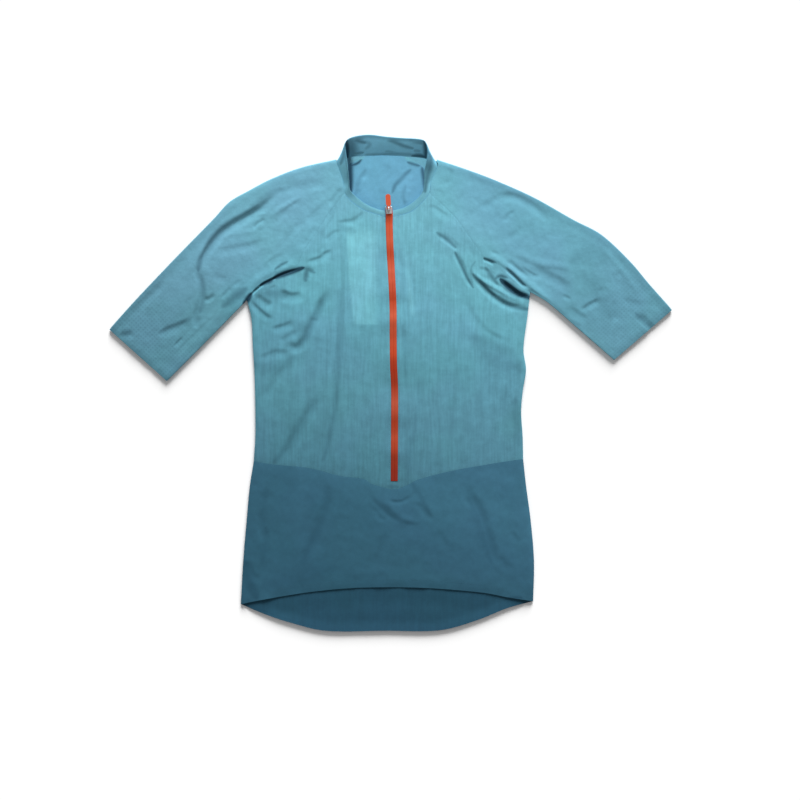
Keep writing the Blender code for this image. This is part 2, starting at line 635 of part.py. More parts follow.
def soften(thing, width):
    """Rounds a hard piece's edges."""
    bevel = thing.modifiers.new("edges", "BEVEL")
    bevel.width = width
    bevel.segments = 2
    bevel.limit_method = "ANGLE"
    bevel.angle_limit = math.radians(40)


def slider_frame():
    """The slider's own axes: +Y up the zip, +Z out of its face, origin in the tape's face under its middle."""
    turn = Matrix.Rotation(SLIDER_LEAN, 4, "Z") @ Matrix.Rotation(SLIDER_TILT, 4, "X")
    return Matrix.Translation((*SLIDER_PLACE, TAPE_TOP + ZIP_CAMBER)) @ turn


def zip_slider(material):
    """The slider: two plates joined by a nose, round the tape, with a crown for the pull tab."""
    half = SLIDER_LENGTH / 2
    slot_top = SEAM_GAP
    slot_floor = -TAPE - ZIP_CAMBER - SEAM_GAP
    top = slot_top + PLATE
    bottom = slot_floor - LOWER_PLATE
    slope = 0.0005
    outline = [
        (-half, bottom),
        (half - slope, bottom),
        (half, bottom + slope),
        (half, top - slope),
        (half - slope, top),
        (-half + slope, top),
        (-half, top - slope),
        (-half, slot_top),
        (half - NOSE, slot_top),
        (half - NOSE, slot_floor),
        (-half, slot_floor),
    ]
    slider = side_profile("zip_slider", outline, SLIDER_WIDTH / 2, material)
    for vert in slider.data.vertices:
        share = 0.5 + vert.co.y / SLIDER_LENGTH
        vert.co.x *= SLIDER_TAIL + (1 - SLIDER_TAIL) * share
    arch_floor = top + 2 * HINGE_HEIGHT
    arch_top = arch_floor + CROWN_TOP
    foot = top - PLATE / 4
    inside = CROWN_REACH - CROWN_FOOT
    arch = [
        (-CROWN_REACH, foot),
        (-CROWN_REACH, arch_top - CROWN_ROUND),
        (-CROWN_REACH + CROWN_ROUND, arch_top),
        (CROWN_REACH - CROWN_ROUND, arch_top),
        (CROWN_REACH, arch_top - CROWN_ROUND),
        (CROWN_REACH, foot),
        (inside, foot),
        (inside, arch_floor),
        (-inside, arch_floor),
        (-inside, foot),
    ]
    arch = [(y + CROWN_OFFSET, z) for y, z in arch]
    crown = side_profile("slider_crown", arch, CROWN_WIDTH / 2, material)
    boolean(slider, crown, "UNION")
    soften(slider, METAL_EDGE)
    slider.matrix_world = slider_frame()
    crown.matrix_world = slider_frame()
    return slider


def zip_puller(material):
    """The pull tab, with its origin on the hinge line. A window in its narrow end holds the slider's crown."""
    bar = HINGE_BAR / 2
    shoulder = LOOP_LENGTH + 0.0014
    end_radius = PULLER_WIDTH / 2
    tip = PULLER_LENGTH - end_radius
    right = [(LOOP_WIDTH / 2, -bar), (LOOP_WIDTH / 2, LOOP_LENGTH), (PULLER_WIDTH / 2, shoulder)]
    turns = [math.pi * k / 12 for k in range(13)]
    tip_arc = [(end_radius * math.cos(turn), tip + end_radius * math.sin(turn)) for turn in turns]
    left = [(-x, y) for x, y in reversed(right)]
    outline = [Vector(point) for point in right + tip_arc + left]
    half = PULLER_THICKNESS / 2
    puller = plate("zip_puller", outline, -half, half, material)
    space = LOOP_SPACE / 2
    window = [(-space, bar), (space, bar), (space, LOOP_END), (-space, LOOP_END)]
    window = [Vector(point) for point in window]
    cutter = plate("puller_window", window, -2 * half, 2 * half, material)
    boolean(puller, cutter, "DIFFERENCE")
    soften(puller, METAL_EDGE)
    hinge = Vector((0, CROWN_OFFSET, SEAM_GAP + PLATE + HINGE_HEIGHT))
    place = slider_frame() @ Matrix.Translation(hinge) @ Matrix.Rotation(-PULLER_DROOP, 4, "X")
    puller.matrix_world = place
    cutter.matrix_world = place
    return puller


def main():
    for thing in list(bpy.data.objects):
        bpy.data.objects.remove(thing)
    turquoise = cloth_material("jersey_knit", (0.115, 0.355, 0.430))
    deep_blue = cloth_material("hem_knit", (0.040, 0.120, 0.170))
    band = cloth_material("collar_knit", (0.105, 0.330, 0.420))
    orange = cloth_material("zip_tape", (0.560, 0.065, 0.022), roughness=0.6)
    metal = cloth_material("slider_metal", (0.600, 0.600, 0.600), roughness=0.3, metallic=1.0)
    tab = cloth_material("puller_finish", (0.640, 0.085, 0.030), roughness=0.4)
    back_body(turquoise)
    hem_back(deep_blue)
    sleeve("left", turquoise)
    sleeve("right", turquoise)
    front_body(turquoise)
    hem_front(deep_blue)
    collar(band)
    zip_tape(orange)
    zip_slider(metal)
    zip_puller(tab)


main()
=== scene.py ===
# %% [markdown]
# # A half-zip cycling jersey, laid flat
# A plain solid model of the jersey already exists: it has the right outline and the right size, and a physics
# program uses it. This lesson dresses it. Each panel gets a thin shell of cloth with its creases, its knit and its
# stitching, and the zip gets its finish. Everything is in metres. +X is to the right, +Y points to the collar and +Z
# points up, out of the front. "Left" and "right" are those of someone looking down at the jersey.

import math
from collections import namedtuple

import bmesh
import bpy
import numpy as np
from mathutils import Matrix, Vector


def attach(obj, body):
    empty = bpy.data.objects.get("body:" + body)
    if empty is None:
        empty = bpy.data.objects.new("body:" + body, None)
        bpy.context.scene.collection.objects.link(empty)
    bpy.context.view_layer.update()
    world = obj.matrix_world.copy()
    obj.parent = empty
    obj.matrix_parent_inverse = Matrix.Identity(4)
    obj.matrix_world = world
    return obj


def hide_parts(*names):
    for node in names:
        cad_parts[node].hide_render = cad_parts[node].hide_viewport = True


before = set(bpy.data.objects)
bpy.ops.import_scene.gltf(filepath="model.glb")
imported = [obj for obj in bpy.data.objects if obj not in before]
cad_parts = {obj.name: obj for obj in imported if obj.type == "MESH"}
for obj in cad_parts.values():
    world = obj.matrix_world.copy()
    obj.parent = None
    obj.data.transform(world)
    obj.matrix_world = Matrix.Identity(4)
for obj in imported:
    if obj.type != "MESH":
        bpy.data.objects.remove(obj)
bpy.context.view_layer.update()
MM = 0.001
SIDES = ("left", "right")

# %% [markdown]
# The camera looks straight down, because the jersey is shown from above. A long lens keeps the sleeves from being
# stretched towards the edges of the picture. The width of the view and the point under the lens are real lengths, so
# the picture's scale can be checked with a ruler.

# %% Camera
VIEW_WIDTH = 1.28  # what the picture shows from side to side
VIEW_MIDDLE = (0.0149, -0.0264)
CAMERA_HEIGHT = 3.6
SENSOR = 0.036


def place_in_scene(name, data):
    """A new object that holds the given camera, light or mesh."""
    made = bpy.data.objects.new(name, data)
    bpy.context.scene.collection.objects.link(made)
    return made


lens = bpy.data.cameras.new("camera")
lens.sensor_width = SENSOR / MM
lens.lens = SENSOR / MM * CAMERA_HEIGHT / VIEW_WIDTH
lens.clip_end = 50
camera = place_in_scene("camera", lens)
camera.location = (*VIEW_MIDDLE, CAMERA_HEIGHT)
bpy.context.scene.camera = camera
print("lens:", round(lens.lens), "mm")

# %% [markdown]
# Creases in cloth only show when light comes in low, so that one side of each is lit and the other is in shade. A sun
# with a wide disc is a simple soft light that is equally strong everywhere: its low rim reaches under the edges and
# gives the soft shadow that a large window would. The white world fills the shade. The light comes from beyond the
# collar, a little from the right.

# %% Light
KEY_ELEVATION = math.radians(21)
KEY_TURN = math.radians(8)  # towards the right
KEY_DISC = math.radians(30)
KEY_STRENGTH = 6.7
FILL_STRENGTH = 0.35

key = bpy.data.lights.new("key", "SUN")
key.energy = KEY_STRENGTH
key.angle = KEY_DISC
key_lamp = place_in_scene("key", key)
key_lamp.rotation_euler = (-(math.pi / 2 - KEY_ELEVATION), 0, -KEY_TURN)

world = bpy.data.worlds.new("world")
bpy.context.scene.world = world
world.use_nodes = True
world.node_tree.nodes["Background"].inputs["Color"].default_value = (1.0, 1.0, 1.0, 1.0)
world.node_tree.nodes["Background"].inputs["Strength"].default_value = FILL_STRENGTH
bpy.context.scene.view_settings.view_transform = "Standard"
print("light", round(math.degrees(KEY_ELEVATION)), "degrees above the floor")

# %% [markdown]
# The floor is a plain pale sheet that catches the jersey's shadow. It lies just below the cloth, so that the two don't
# share a plane. It is part of the picture and not of the jersey.

# %% Floor
FLOOR_SIDE = 12.0
FLOOR_DEPTH = 0.0006
FLOOR_GREY = 0.92


def new_material(name, roughness, specular, metallic=0.0, sheen=0.0):
    """A material with its shader's plain numbers set. Returns its tree and its shader too."""
    material = bpy.data.materials.new(name)
    material.use_nodes = True
    shader = material.node_tree.nodes["Principled BSDF"]
    shader.inputs["Roughness"].default_value = roughness
    shader.inputs["Specular IOR Level"].default_value = specular
    shader.inputs["Metallic"].default_value = metallic
    shader.inputs["Sheen Weight"].default_value = sheen
    shader.inputs["Sheen Roughness"].default_value = 0.5
    return material, material.node_tree, shader


def finished_mesh(name, bm, material):
    """Turns a bmesh into a mesh with its material."""
    mesh = bpy.data.meshes.new(name)
    bm.to_mesh(mesh)
    bm.free()
    mesh.materials.append(material)
    return mesh


paint, _, paint_shader = new_material("floor_paint", roughness=0.9, specular=0.0)
paint_shader.inputs["Base Color"].default_value = (FLOOR_GREY, FLOOR_GREY, FLOOR_GREY, 1.0)
bm = bmesh.new()
bmesh.ops.create_grid(bm, x_segments=1, y_segments=1, size=FLOOR_SIDE / 2)
bmesh.ops.translate(bm, verts=bm.verts, vec=(0, 0, -FLOOR_DEPTH))
floor = place_in_scene("floor", finished_mesh("floor", bm, paint))
print("floor:", FLOOR_SIDE, "m wide")

# %% [markdown]
# Every panel's outline is a smooth curve through a few places that were measured on the garment. These helpers give
# points on such a curve, move it sideways, and find how far a place is from it. They work on whole arrays of places
# at once, because a panel has tens of thousands of points.

# %% Smooth paths
FINE_STEPS = 1200  # a curve is cut into this many to measure along it


def smooth(points, places):
    """Points on the smooth curve through points. A place counts them: 2.5 is halfway from points[2] to points[3]."""
    points = np.asarray(points, float)
    count = np.arange(len(points))
    before = points[np.maximum(count - 1, 0)]
    after = points[np.minimum(count + 1, len(points) - 1)]
    reach = np.linalg.norm(after - points, axis=1) + np.linalg.norm(points - before, axis=1)
    heading = (after - before) / reach[:, None]
    i = np.clip(np.asarray(places).astype(int), 0, len(points) - 2)
    t = (places - i)[:, None]
    run = np.linalg.norm(points[i + 1] - points[i], axis=1)[:, None]
    return (
        points[i] * (2 * t**3 - 3 * t**2 + 1)
        + heading[i] * run * (t**3 - 2 * t**2 + t)
        + points[i + 1] * (3 * t**2 - 2 * t**3)
        + heading[i + 1] * run * (t**3 - t**2)
    )


def lengths_along(path):
    """How far along the path each of its points is."""
    return np.cumsum(np.linalg.norm(np.diff(path, axis=0, prepend=path[:1]), axis=1))


def along(points, shares, first=0, last=None):
    """Points at the given shares of the curve's length, from its point first to its point last."""
    last = len(points) - 1 if last is None else last
    fine = smooth(points, np.linspace(first, last, FINE_STEPS + 1))
    gone = lengths_along(fine)
    return np.column_stack([np.interp(shares * gone[-1], gone, axis) for axis in fine.T])


def evenly(points, steps):
    return along(points, np.linspace(0, 1, steps + 1))


def beside(path, distance):
    """The path moved to its left by distance."""
    ahead = np.gradient(path, axis=0)
    left = np.column_stack([-ahead[:, 1], ahead[:, 0]])
    return path + left / np.linalg.norm(left, axis=1)[:, None] * distance


def ease(share):
    """Rises smoothly from 0 to 1 as share does, and stays there past them."""
    share = np.clip(share, 0, 1)
    return share * share * (3 - 2 * share)


def nearest(path, places):
    """For each place: its distance to the path, whether it lies to the left of it (+1) or not (-1), and how far
    along the path its nearest point is, from 0 to 1."""
    gap = np.full(len(places), np.inf)
    side = np.ones(len(places))
    far = np.zeros(len(places))
    for i, (start, run) in enumerate(zip(path[:-1], np.diff(path, axis=0))):
        from_start = places - start
        share = np.clip(from_start @ run / (run @ run), 0, 1)
        off = from_start - share[:, None] * run
        distance = np.hypot(off[:, 0], off[:, 1])
        closer = distance < gap
        gap[closer] = distance[closer]
        turn = run[0] * from_start[:, 1] - run[1] * from_start[:, 0]
        side[closer] = np.sign(turn[closer])
        far[closer] = (i + share[closer]) / (len(path) - 1)
    return gap, side, far


def how_near(path, places):
    """Distance from each place to the path."""
    return nearest(path, places)[0]


# %% [markdown]
# These are the outlines, in metres, the same ones that the solid model has, so that each shell of cloth lies on its
# solid. A row gives the place on the left side and the matching place on the right side. The two sides differ,
# because nobody lays a jersey down quite evenly.

# %% Outlines of the panels
Section = namedtuple("Section", "left_x left_y right_x right_y")


def outline(*rows):
    return [Section(*row) for row in rows]


ARMPIT = (-0.2299, 0.1336, 0.2229, 0.1464)
WAIST = (-0.2187, -0.1240, 0.2117, -0.1208)  # where the V seam meets the sides
HEM_CORNER = (-0.2395, -0.3528, 0.2277, -0.3480)
SHOULDER_LINE = outline(  # top outline of the sleeves, from the cuff to the collar
    (-0.4498, 0.0864, 0.4498, 0.1176), (-0.4043, 0.1368, 0.4133, 0.1584), (-0.3435, 0.2008, 0.3829, 0.1944),
    (-0.2811, 0.2648, 0.3365, 0.2376), (-0.2571, 0.2904, 0.2901, 0.2624), (-0.2267, 0.3080, 0.2293, 0.2968),
    (-0.1899, 0.3272, 0.1685, 0.3240), (-0.1435, 0.3448, 0.1221, 0.3416), (-0.0872, 0.3578, 0.0739, 0.3576))
UNDERARM = outline(  # from the cuff to the armpit
    (-0.3579, 0.0040, 0.3573, 0.0376), (-0.3083, 0.0536, 0.2949, 0.0920), (-0.2587, 0.1040, 0.2501, 0.1304), ARMPIT)
FRONT_RAGLAN = outline(  # from the armpit towards the collar
    ARMPIT, (-0.2155, 0.1504, 0.2069, 0.1480), (-0.1963, 0.1632, 0.1909, 0.1560), (-0.1707, 0.1752, 0.1749, 0.1664),
    (-0.1499, 0.1888, 0.1589, 0.1832), (-0.1387, 0.2120, 0.1461, 0.2056), (-0.1195, 0.2408, 0.1269, 0.2328),
    (-0.0971, 0.2744, 0.1029, 0.2656))
BACK_RAGLAN = outline(  # the same seam on the layer below
    ARMPIT, (-0.2059, 0.1624, 0.1877, 0.1784), (-0.1771, 0.2024, 0.1509, 0.2200), (-0.1419, 0.2584, 0.1141, 0.2696),
    (-0.1051, 0.3096, 0.0789, 0.3144), (-0.0731, 0.3464, 0.0517, 0.3464))
SIDE = outline(  # from the V seam to the armpit
    WAIST, (-0.2163, -0.0840, 0.2109, -0.0840), (-0.2163, -0.0456, 0.2085, -0.0456),
    (-0.2168, -0.0136, 0.2109, -0.0136), (-0.2179, 0.0216, 0.2162, 0.0216), (-0.2203, 0.0600, 0.2122, 0.0552),
    (-0.2227, 0.1048, 0.2189, 0.1096), ARMPIT)
HEM_SIDE = outline(  # from the V seam to the hem
    WAIST, (-0.2251, -0.1640, 0.2165, -0.1640), (-0.2299, -0.2152, 0.2237, -0.2184),
    (-0.2355, -0.2824, 0.2290, -0.2824), HEM_CORNER)
V_SEAM = outline(  # from each side to the edge of the zip
    WAIST, (-0.1931, -0.1288, 0.1829, -0.1248), (-0.1307, -0.1352, 0.1541, -0.1296),
    (-0.0795, -0.1480, 0.0997, -0.1392), (-0.0427, -0.1528, 0.0437, -0.1536), (-0.0299, -0.1608, 0.0277, -0.1616),
    (-0.0006, -0.1688, 0.0112, -0.1688))
HEM_FRONT_EDGE = outline(  # from each side to the middle
    HEM_CORNER, (-0.2091, -0.3464, 0.1861, -0.3416), (-0.1307, -0.3336, 0.1477, -0.3344),
    (-0.0651, -0.3272, 0.0629, -0.3272), (-0.0011, -0.3256, -0.0011, -0.3256))
HEM_BACK_EDGE = outline(  # the longer back, from each side to the middle
    HEM_CORNER, (-0.2011, -0.3688, 0.1861, -0.3592), (-0.1627, -0.3816, 0.1381, -0.3784),
    (-0.1051, -0.3952, 0.0789, -0.3944), (-0.0091, -0.3952, -0.0091, -0.3952))
ZIP_LINE = np.array([  # middle of the zip, from its lower end to the collar
    (0.0056, -0.1560), (0.0060, -0.1000), (0.0063, -0.0424), (0.0062, -0.0060), (0.0046, 0.0296), (0.0040, 0.0700),
    (0.0037, 0.1256), (0.0014, 0.1736), (-0.0013, 0.2216), (-0.0027, 0.2664)])
ZIP_AT_ARMPITS = 0.1280  # the zip's place in Y on the row of points that starts at the armpits
ZIP_WIDTH = 0.0112
SEAM_GAP = 0.0001  # space between two pieces along a seam


def on_side(table, side):
    """A table's places on one side of the garment."""
    return np.array([(getattr(row, side + "_x"), getattr(row, side + "_y")) for row in table])


def whole_edge(table):
    """A table's places from the left side through the middle to the right side."""
    return np.concatenate([on_side(table, "left"), on_side(table, "right")[-2::-1]])


def from_zip(places):
    """How far each place is to the right of the middle of the zip."""
    return places[:, 0] - np.interp(places[:, 1], ZIP_LINE[:, 1], ZIP_LINE[:, 0])


print("from armpit to armpit:", round(np.hypot(ARMPIT[2] - ARMPIT[0], ARMPIT[3] - ARMPIT[1]) / MM), "mm")

# %% [markdown]
# The collar is one band of doubled cloth. Each row says where it is sewn on and where its top edge is at one place
# round the neck. At the front it is low and lies almost flat. At the sides and the back it stands up and leans out.

# %% The collar's sections
CollarSection = namedtuple("CollarSection", "where base_x base_y base_z top_x top_y top_z")
COLLAR = [CollarSection(*row) for row in (
    ("left front end", -0.0089, 0.2674, 0.0047, -0.0087, 0.2760, 0.0076),
    ("left front", -0.0211, 0.2707, 0.0049, -0.0203, 0.2782, 0.0084),
    ("left front", -0.0427, 0.2781, 0.0049, -0.0379, 0.2856, 0.0096),
    ("left front", -0.0632, 0.2922, 0.0049, -0.0547, 0.2979, 0.0114),
    ("left raglan", -0.0734, 0.3048, 0.0049, -0.0646, 0.3088, 0.0130),
    ("left side", -0.0746, 0.3185, 0.0047, -0.0662, 0.3232, 0.0142),
    ("left side", -0.0778, 0.3320, 0.0045, -0.0678, 0.3384, 0.0152),
    ("left side", -0.0819, 0.3448, 0.0042, -0.0694, 0.3544, 0.0162),
    ("left shoulder", -0.0851, 0.3550, 0.0037, -0.0715, 0.3704, 0.0172),
    ("left corner", -0.0828, 0.3586, 0.0022, -0.0726, 0.3816, 0.0178),
    ("left back corner", -0.0740, 0.3603, 0.0010, -0.0678, 0.3891, 0.0170),
    ("left back", -0.0611, 0.3630, 0.0008, -0.0547, 0.3941, 0.0160),
    ("left back raglan", -0.0395, 0.3642, 0.0008, -0.0331, 0.3962, 0.0150),
    ("middle of the back", -0.0075, 0.3651, 0.0008, -0.0075, 0.3934, 0.0146),
    ("right back raglan", 0.0245, 0.3634, 0.0008, 0.0213, 0.3909, 0.0150),
    ("right back", 0.0469, 0.3616, 0.0008, 0.0421, 0.3898, 0.0160),
    ("right back corner", 0.0600, 0.3593, 0.0010, 0.0530, 0.3870, 0.0168),
    ("right corner", 0.0684, 0.3579, 0.0022, 0.0570, 0.3808, 0.0174),
    ("right shoulder", 0.0720, 0.3540, 0.0037, 0.0587, 0.3688, 0.0168),
    ("right side", 0.0741, 0.3472, 0.0042, 0.0573, 0.3544, 0.0160),
    ("right side", 0.0696, 0.3352, 0.0045, 0.0538, 0.3384, 0.0150),
    ("right side", 0.0642, 0.3224, 0.0047, 0.0533, 0.3208, 0.0141),
    ("right raglan", 0.0616, 0.3053, 0.0049, 0.0506, 0.3056, 0.0129),
    ("right front", 0.0470, 0.2872, 0.0049, 0.0392, 0.2923, 0.0114),
    ("right front", 0.0301, 0.2742, 0.0049, 0.0229, 0.2814, 0.0096),
    ("right front end", 0.0035, 0.2670, 0.0047, 0.0032, 0.2763, 0.0076),
)]
NECK_CLEARANCE = 0.0008  # from the middle of the collar's cloth to the edge of the panels
NECKLINE = np.array([(row.base_x, row.base_y) for row in COLLAR])
STATION = {row.where: i for i, row in enumerate(COLLAR)}


def neck_edge(shares, first, last, beyond=1.0):
    """Edge of the panels along the neckline between two stations. It lies outside the collar's base by beyond times
    the clearance."""
    turn = 1 if STATION[last] > STATION[first] else -1
    path = along(NECKLINE, shares, STATION[first], STATION[last])
    return beside(path, beyond * turn * NECK_CLEARANCE)


print("collar:", len(COLLAR), "sections, up to", round(max(row.top_z for row in COLLAR) / MM), "mm high")
